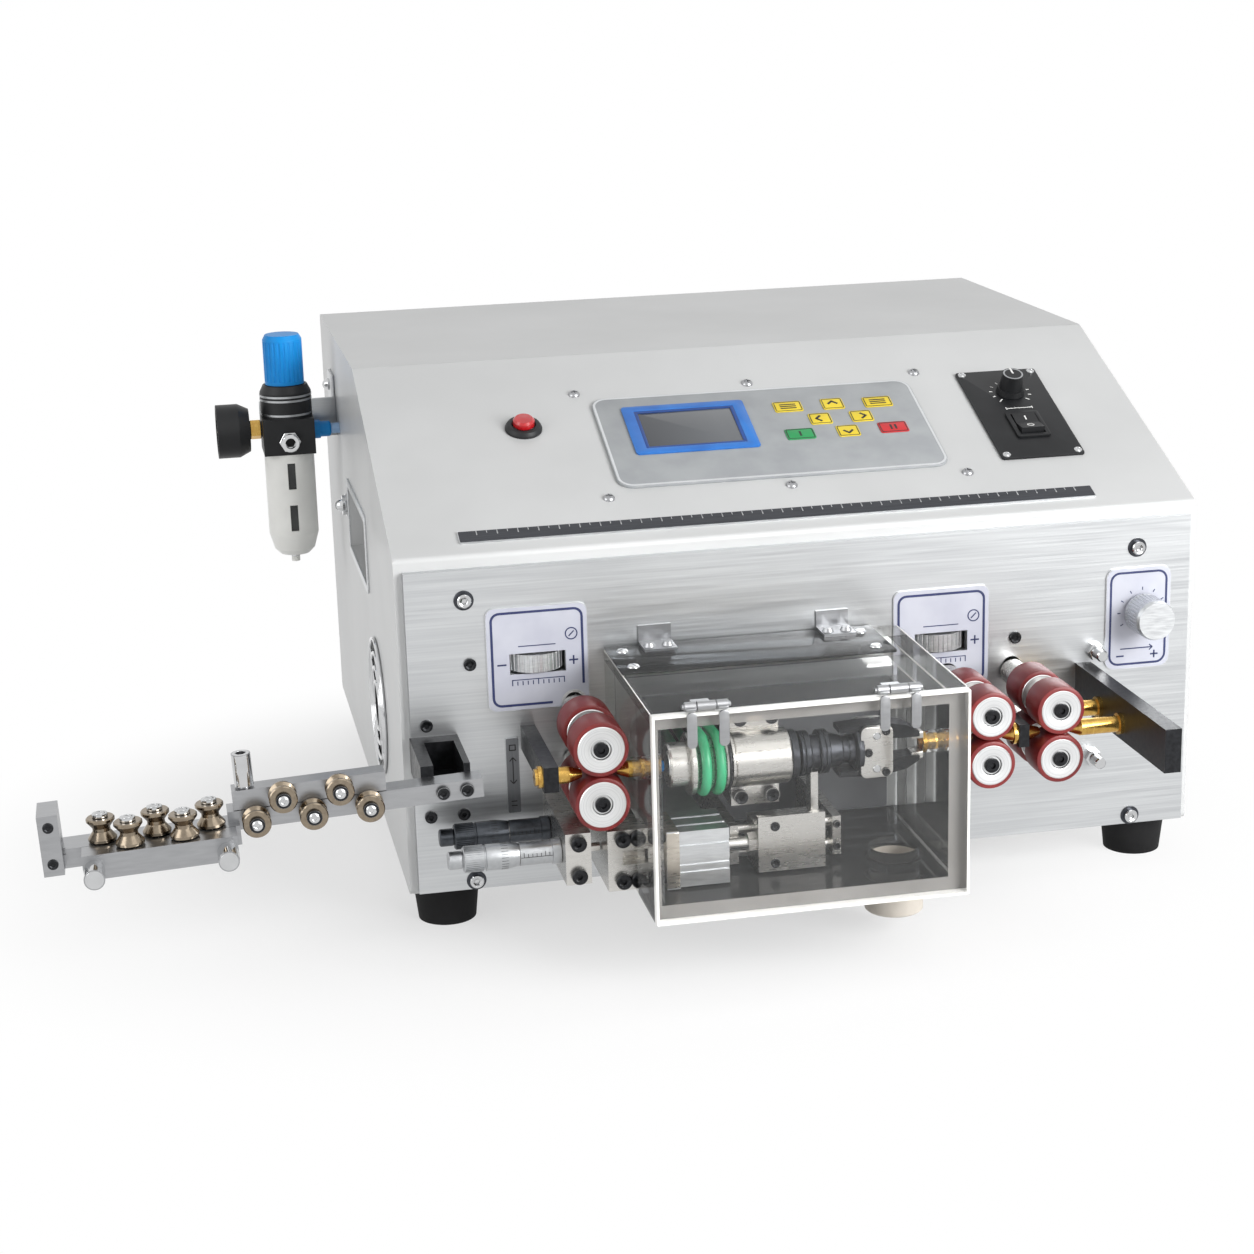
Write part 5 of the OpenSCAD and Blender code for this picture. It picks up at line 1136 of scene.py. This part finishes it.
barrels = copies(turned([(0, -7), (3.6, -7), (4.2, -6.4), (4.2, -0.7), (3.7, -0.4), (3.7, 0), (5.5, 0),
                         (5.9, 0.4), (5.9, 9.6), (5.7, 9.8), (5.7, 10.3), (6.2, 10.6), (6.2, 21), (5.4, 26),
                         (4.8, 26), (4.8, 14), (0, 14), (0, -7)], 64), 2)
knurls = copies(ring_of(moved(plate(0.5, 0.5, 8.6, 0), 5.95, 0, 0.7), RIDGES), 2)
skirts = copies(ring_of(moved(plate(0.12, 0.2, 3.2, 0), 6.2, 0, 17.5), SKIRT_TICKS), 2)
sleeves = copies(turned([(4.6, 26.3), (SLEEVE_R - 0.2, 26.3), (SLEEVE_R, 26.5), (SLEEVE_R, 41.4), (6.0, 41.7),
                         (6.0, 45.6), (5.7, 45.9), (4.6, 45.9), (4.6, 26.3)], 64), 2)
pins = copies(moved(rod(Matrix.Identity(4), PIN_R, PIN_LEN, steps=24), 0, 0, PIN_OUT), 2)
lines = [(28 + 2 * n, 0.9 if n % 5 else 1.3, 0.25, 1.6 if n % 5 else 2.4, 0) for n in range(9)]
line_sets = copies(printed(lines + [(35.5, 0, 18, 0.25, 0)]), 2)
thimbles = (("front_thimble", -52, satin_chrome), ("rear_thimble", -21, shaded_chrome))
for n, (body, y, metal) in enumerate(thimbles):
    axis = facing(THIMBLE_X, y, MICRO_Z, "+X")
    carried(barrels[n], f"{body}_barrel", axis, metal, body)
    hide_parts(body)
    carried(knurls[n], f"{body}_knurl", axis, metal, body)
    carried(skirts[n], f"{body}_graduation", axis, ink_black, body)
    carried(pins[n], f"{body}_spindle", axis, machined_steel, body)
    carried(sleeves[n], f"{body}_sleeve", axis, metal)
    front = facing(THIMBLE_X, y - SLEEVE_R, MICRO_Z, "-Y")
    carried(line_sets[n], f"{body}_sleeve_lines", front, ink_black)
stand_screws = [facing(x, -70, z, "-Y") for x in (-108, -101) for z in (45, 65.5)]
stand_screws += [facing(-128, -66, z, "-Y") for z in (48, 64)]
black_screws("micrometer_stand_screws", cap_screw(3.7, 3.15, 0.35), stand_screws)
print("micrometers made")

# %% [markdown]
# ## Screws and studs
# The panel is held by bright screws on washers, black socket screws hold the frames behind it, and two
# studs carry the outlet bar. Every kind is modelled once and copied.

# %% Screws and studs
corner_places = [on_panel(x, z) for x in (-168, 168) for z in (26.5, 167)]
washer = turned([(2.2, 0), (4.8, 0), (4.8, 0.35), (4.5, 0.6), (2.2, 0.6), (2.2, 0)], 40)
washers = repeated(washer, corner_places, "panel_washers", gunmetal)
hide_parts("panel_screws")
repeated(cap_screw(3.4, 2.8), corner_places, "panel_corner_screws", chrome)
sockets = [(-166.4, 135.5), (105, 126), (-188.5, 107), (-188.5, 61), (-172.5, 61)]
black_screws("panel_socket_screws", cap_screw(3, 1.6), [on_panel(*place) for place in sockets])
console = [on_slope(x, s) for x in (-89.5, 2.5, 93.5) for s in (38, 133)]
button_head = turned([(0, 1.8), (1.2, 1.75), (2.2, 1.4), (2.8, 0.7), (3, 0), (0, 0)], 28)
for width, height in ((0.8, 3.4), (3.4, 0.8)):
    cut(button_head, moved(plate(width, height, 2, 0), 0, 0, 1.0))
repeated(button_head, console, "console_screws", drawn_steel)
stud = rod(Matrix.Identity(4), 3, 11, 0.6, 28)
nut = turned([(3, 0), (4.5, 0), (4.5, 2.8), (4.1, 3), (3, 3), (3, 0)], 6)
repeated(joined([stud, nut]), [on_panel(147, 115.5), on_panel(147.3, 59.5)], "outlet_studs", chrome)
print("screws:", len(corner_places) + len(sockets) + len(console))

# %% [markdown]
# Small marks finish the console: a white pointer on the speed knob, and a line and a ring on the two ends
# of the rocker.

# %% Knob and rocker marks
KNOB_TOP = 12.86
ROCKER_TILT, ROCKER_REACH, ROCKER_TOP = math.radians(-7), 4.1, 3.88
LEAN = math.atan2(1.3, 2 * ROCKER_REACH)
pointer = moved(plate(0.9, 5.2, 0.12, 0.2), 0, 2.8)
carried(pointer, "speed_knob_pointer", on_slope(*SPEED, KNOB_TOP), ink_white, "speed_knob")
ring = tube(4.4, 5.2, 0, 0.06, 40)
carried(ring, "speed_knob_ring", on_slope(*SPEED, KNOB_TOP), satin_chrome, "speed_knob")


def on_rocker(side):
    """On the far end of the rocker when the side is 1, and on its near end when it is -1."""
    end = Matrix.Translation(mm(0, side * ROCKER_REACH, ROCKER_TOP)) @ Matrix.Rotation(side * LEAN, 4, "X")
    return on_slope(*ROCKER) @ Matrix.Rotation(ROCKER_TILT, 4, "X") @ end


carried(plate(0.8, 3.4, 0.1, 0), "rocker_line", on_rocker(1), ink_white, "rocker_switch")
carried(tube(1.3, 1.9, 0, 0.1, 28), "rocker_ring", on_rocker(-1), ink_white, "rocker_switch")
print("marks made")

# %% [markdown]
# ## Air regulator
# Compressed air for the cylinder comes through a filter regulator on the left wall. Its fittings are of
# different metals: a brass nut on the gauge, a plated hexagon at the inlet, and a blue push-in collar that
# grips a pale tube.

# %% Regulator fittings
rx, ry, rz = -229, 264, 201
REG_HALF = 14.3
REG_BACK = ry + REG_HALF
WALL_X, BRACKET_T = -200, 2
TUBE_R, TUBE_LEN, GRIP_LEN = 3, 10.6, 10
port = turned([(3, 0), (4.6, 0), (5, 0.4), (5, 4), (3, 4), (3, 0)], 40)
hexagon = turned([(3, 4), (5.6, 4), (6, 4.3), (6, 7.7), (5.6, 8), (3, 8), (3, 4)], 6)
port = joined([port, hexagon])
carried(port, "inlet_port", facing(rx, ry - REG_HALF - 8, rz - 3, "+Y"), chrome)
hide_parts("regulator_fittings")
grip = turned([(0, 0), (5.2, 0), (5.2, 3.7), (4.9, 4), (4.4, 4), (4.4, 9), (3.9, 9.6), (3.2, GRIP_LEN),
               (0, GRIP_LEN)], 40)
carried(grip, "push_in_collar", facing(rx + REG_HALF, ry, rz, "+X"), blue_plastic)
# Polyurethane air tube: pale, cloudy blue
air_tube = grained("air_tube_polyurethane", "#8FB4DC", "#A4C4E6", 0.3, 2.0, 0.05)
hose = rod(facing(rx + REG_HALF + GRIP_LEN, ry, rz, "+X"), TUBE_R, TUBE_LEN, 0.2, 28)
in_place(hose, "air_tube", air_tube)
bracket = [slab((rx - REG_HALF, REG_BACK, rz - 7), (WALL_X, REG_BACK + BRACKET_T, rz + 15), 0.4),
           slab((WALL_X - BRACKET_T, REG_BACK + BRACKET_T, rz - 7), (WALL_X, REG_BACK + 26, rz + 27), 0.4)]
in_place(joined(bracket), "regulator_bracket", brushed_steel)
dome = turned([(0, 4), (1.6, 3.6), (2.8, 2.4), (3.2, 1.2), (3.4, 1.0), (3.4, 0), (0, 0)], 28)
domes = [facing(WALL_X - BRACKET_T, REG_BACK + 15, rz + z, "-X") for z in (0, 20)]
repeated(dome, domes, "bracket_bolts", chrome)
nut = turned([(2, 0), (5, 0), (5.4, 0.4), (5.4, 5.6), (5, 6), (2, 6), (2, 0)], 6)
carried(nut, "gauge_nut", facing(rx - REG_HALF - 6.6, ry, rz + 2, "+X"), brass)
print("fittings made")

# %% Gauge and bowl
GAUGE_R, GAUGE_FACE_T, GAUGE_TICKS_R = 12.4, 0.15, 11.3
SLOT_HALF, SLOT_LEN = 2.15, 14.9
gauge = facing(rx - REG_HALF - 23.5, ry, rz + 2, "-X")
carried(disc(GAUGE_R, 0, GAUGE_FACE_T, 56), "gauge_face", gauge, ink_white)
dial = []
for step in range(21):
    length = 1.4 if step % 5 else 2.4
    dial.append(spoke(GAUGE_TICKS_R - length / 2, 225 - 13.5 * step, length, 0.35))
pointer = (-2.6, -1.2, 10.5, 0.6, 25)
carried(moved(printed(dial + [pointer]), 0, 0, GAUGE_FACE_T), "gauge_scale", gauge, ink_black)
hub = turned([(0, 1.0), (1.0, 0.9), (1.3, 0.5), (1.3, 0), (0, 0)], 24)
carried(moved(hub, 0, 0, 0.2), "gauge_hub", gauge, brass)
bands = stacked(tube(13.9, 14.55, 0, 1.1, 64), (1.5, 9.5, 11.8))
carried(bands, "bonnet_bands", upright(rx, ry, rz + 9), satin_chrome)
carried(tube(9.8, 11.2, 0, 0.3, 48), "bonnet_seal", upright(rx, ry, rz + 27.02), rubber)
# Oil-stained sight glass behind the guard's slots
sight_glass = grained("smoked_sight_glass", "#2A2C2C", "#3A3C3B", 0.2, 2.0, 0.05)
slots = [slab((rx - SLOT_HALF, ry - 12.5, rz + z), (rx + SLOT_HALF, ry - 12.32, rz + z + SLOT_LEN))
         for z in (-31, -55)]
in_place(joined(slots), "bowl_sight_glass", sight_glass)
drain = turned([(0, 0), (1.3, 0), (1.5, 0.3), (1.5, 3), (2.4, 3.2), (2.55, 5.6), (0, 5.6)], 28)
carried(drain, "bowl_drain", upright(rx, ry, rz - 75.3), chrome)
print("gauge ticks:", len(dial))

# %% [markdown]
# ## Fan
# The guard over the fan is bent from round wire, so each ring is a torus. Behind it a moulded frame with
# four struts holds the motor's hub.

# %% Fan guard
FAN_Y, FAN_Z, FAN_SIZE, FAN_DEPTH, FAN_BORE = 108, 84, 72, 14, 32
STRUTS, STRUT_TURN = 4, 45
GUARD_RINGS, WIRE_R, SPOKE_R = (35, 27.5, 20, 12.5), 1, 0.7
frame_body = cut(plate(FAN_SIZE, FAN_SIZE, FAN_DEPTH, 5), disc(FAN_BORE, -1, FAN_DEPTH + 1, 64))
strut = moved(moved(plate(22, 4, 1.6, 0.3), 21, 0, 11.9), 0, 0, 0, STRUT_TURN)
hub = moved(turned([(0, 0), (10.6, 0), (11, 0.4), (11, 2.6), (0, 2.6)], 48), 0, 0, 11.4)
fan_frame = joined([frame_body, hub, ring_of(strut, STRUTS)])
carried(fan_frame, "fan_frame", facing(-198.5, FAN_Y, FAN_Z, "+X"), black_plastic)
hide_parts("cooling_fan")
wires = []
for radius in GUARD_RINGS:
    bpy.ops.object.select_all(action="DESELECT")
    bpy.ops.mesh.primitive_torus_add(major_radius=mm(radius), minor_radius=mm(WIRE_R), major_segments=72,
                                     minor_segments=12)
    bpy.ops.object.shade_smooth()
    wires.append(bpy.context.object)
wire = moved(rod(Matrix.Rotation(QUARTER, 4, "Y"), SPOKE_R, 23, 0.1, 14), 12.2, 0)
wires.append(ring_of(moved(wire, 0, 0, 0, STRUT_TURN), STRUTS))
carried(joined(wires), "fan_guard", facing(-201, FAN_Y, FAN_Z, "+X"), chrome)
in_place(rod(facing(-195.5, FAN_Y, FAN_Z, "+X"), 2, 10, 0.2, 20), "fan_pin", machined_steel)
print("guard rings:", len(GUARD_RINGS))

# %% [markdown]
# ## Wire straightener
# Ten grooved rollers bend the wire to and fro until it runs straight. Each has a bright screw in the
# middle, on a washer. Three of the top ones and three of the side ones stay with the fixed bar, and the
# other four ride on the two adjusting bars between them.

# %% Straightener screws
ARM_X, ARM_DROOP = -190, math.radians(-2.5)
ARM = upright(ARM_X, WIRE_Y, WIRE_Z) @ Matrix.Rotation(ARM_DROOP, 4, "Y")
GUIDE_OFF, SIDE_FIRST, SIDE_PITCH, TOP_FIRST, TOP_PITCH = 4.9, -151.5, 24, -83.5, 25.5
SIDE_FACE, TOP_FACE = 5.8, -4.6


def on_arm(x, y, z, turn=0):
    """In the arm's own frame, with local Z up, or towards the front when turned by 90 degrees about X."""
    return ARM @ Matrix.Translation(mm(x, y, z)) @ Matrix.Rotation(math.radians(turn), 4, "X")


def on_top(number, side):
    """On the face of a top guide, below the wire when the side is -1 and above it when it is 1."""
    return on_arm(TOP_FIRST + number * TOP_PITCH, TOP_FACE, side * GUIDE_OFF, 90)


def on_side(number, side):
    """On the face of a side guide, before the wire when the side is -1 and behind it when it is 1."""
    return on_arm(SIDE_FIRST + number * SIDE_PITCH, side * GUIDE_OFF, SIDE_FACE)


FIXED, BETWEEN = (0, 1, 2), (0.5, 1.5)
rows = [("top_fixed", "machine", [on_top(n, -1) for n in FIXED], black_steel),
        ("side_fixed", "machine", [on_side(n, 1) for n in FIXED], chrome),
        ("top_moving", "top_adjuster", [on_top(n, 1) for n in BETWEEN], black_steel),
        ("side_moving", "side_adjuster", [on_side(n, -1) for n in BETWEEN], chrome)]
washer = turned([(2, 0), (3.5, 0), (3.5, 1.35), (3.3, 1.5), (2, 1.5), (2, 0)], 32)
screw = turned([(0, 2.3), (1.4, 2.2), (2.2, 1.9), (2.5, 1.5), (0, 1.5)], 28)
cut(screw, moved(disc(1, 0, 2, 6), 0, 0, 1.75, SOCKET_TURN))
masters = zip(rows, copies(washer, len(rows)), copies(screw, len(rows)))
for (row, body, places, metal), washer, screw in masters:
    repeated(washer, places, f"{row}_guide_washers", metal, body)
    repeated(screw, places, f"{row}_guide_screws", chrome, body)
    print("guide screws,", row, "row:", len(places))

# %% Posts of the adjusters and screws of the arm
side_post = turned([(0, 0), (4.65, 0), (4.65, 12.4), (4.1, 13.06), (0, 13.06)], 40)
posts = [on_arm(x, -12.45, -12.6, 90) for x in (-156.1, -97.9)]
repeated(side_post, posts, "side_posts", chrome, "side_adjuster")
top_post = turned([(0, 0), (4.35, 0), (4.35, 14.6), (3.9, 15.05), (2.6, 15.05), (2.6, 12), (0, 12)], 40)
carried(top_post, "top_post", on_arm(-87, 9.65, 10), chrome, "top_adjuster")
black_screws("arm_root_screws", cap_screw(3.15, 2.1), [on_arm(x, 4.65, -4.9, 90) for x in (1.5, 12.5)])
black_screws("end_block_screws", cap_screw(2.4, 0.8), [on_arm(-173.5, -10, z, 90) for z in (-8.5, 8.5)])
print("posts:", len(posts) + 1)

# %% [markdown]
# An acetal tip keeps the bare wire off the brass: the nozzle that enters the head has a blue one, turned as
# a cone.

# %% Nozzle tip
tip = turned([(1.3, 0), (2.4, 0), (4.2, 5.6), (4.2, 7), (1.3, 7), (1.3, 0)], 36)
carried(tip, "blue_nozzle_tip", facing(-86.6, WIRE_Y, WIRE_Z, "-X"), blue_plastic)
print("tip made")

# %% [markdown]
# ## Hand grips
# A pressed trim plate frames the left grip and a lip lines the right one, which must stay flush with the
# casing. An acorn nut behind the left grip holds the earth strap inside.

# %% Hand grips
GRIP_Y, GRIP_Z, GRIP_W, GRIP_H = 178, 159, 34, 92
TRIM_T, TRIM_GAP = 1.0, 0.2
trim = frame_of(GRIP_W + 8, GRIP_H + 8, 4, (GRIP_W + TRIM_GAP, GRIP_H + TRIM_GAP), TRIM_T, 0.3)
carried(trim, "left_grip_trim", facing(WALL_X, GRIP_Y, GRIP_Z, "-X"), aluminium)
lip = frame_of(GRIP_W - TRIM_GAP, GRIP_H - TRIM_GAP, 2, (GRIP_W - 3, GRIP_H - 3), TRIM_T, 0.2)
carried(lip, "right_grip_lip", facing(198.8, GRIP_Y, GRIP_Z, "+X"), aluminium)
acorn = turned([(0, 7), (1.6, 6.7), (2.9, 5.6), (3.4, 4), (3.5, 3), (5.6, 3), (5.6, 1), (6.2, 1), (6.2, 0),
                (0, 0)], 32)
carried(acorn, "acorn_nut", facing(WALL_X, 238, 162, "-X"), chrome)
print("grips trimmed")
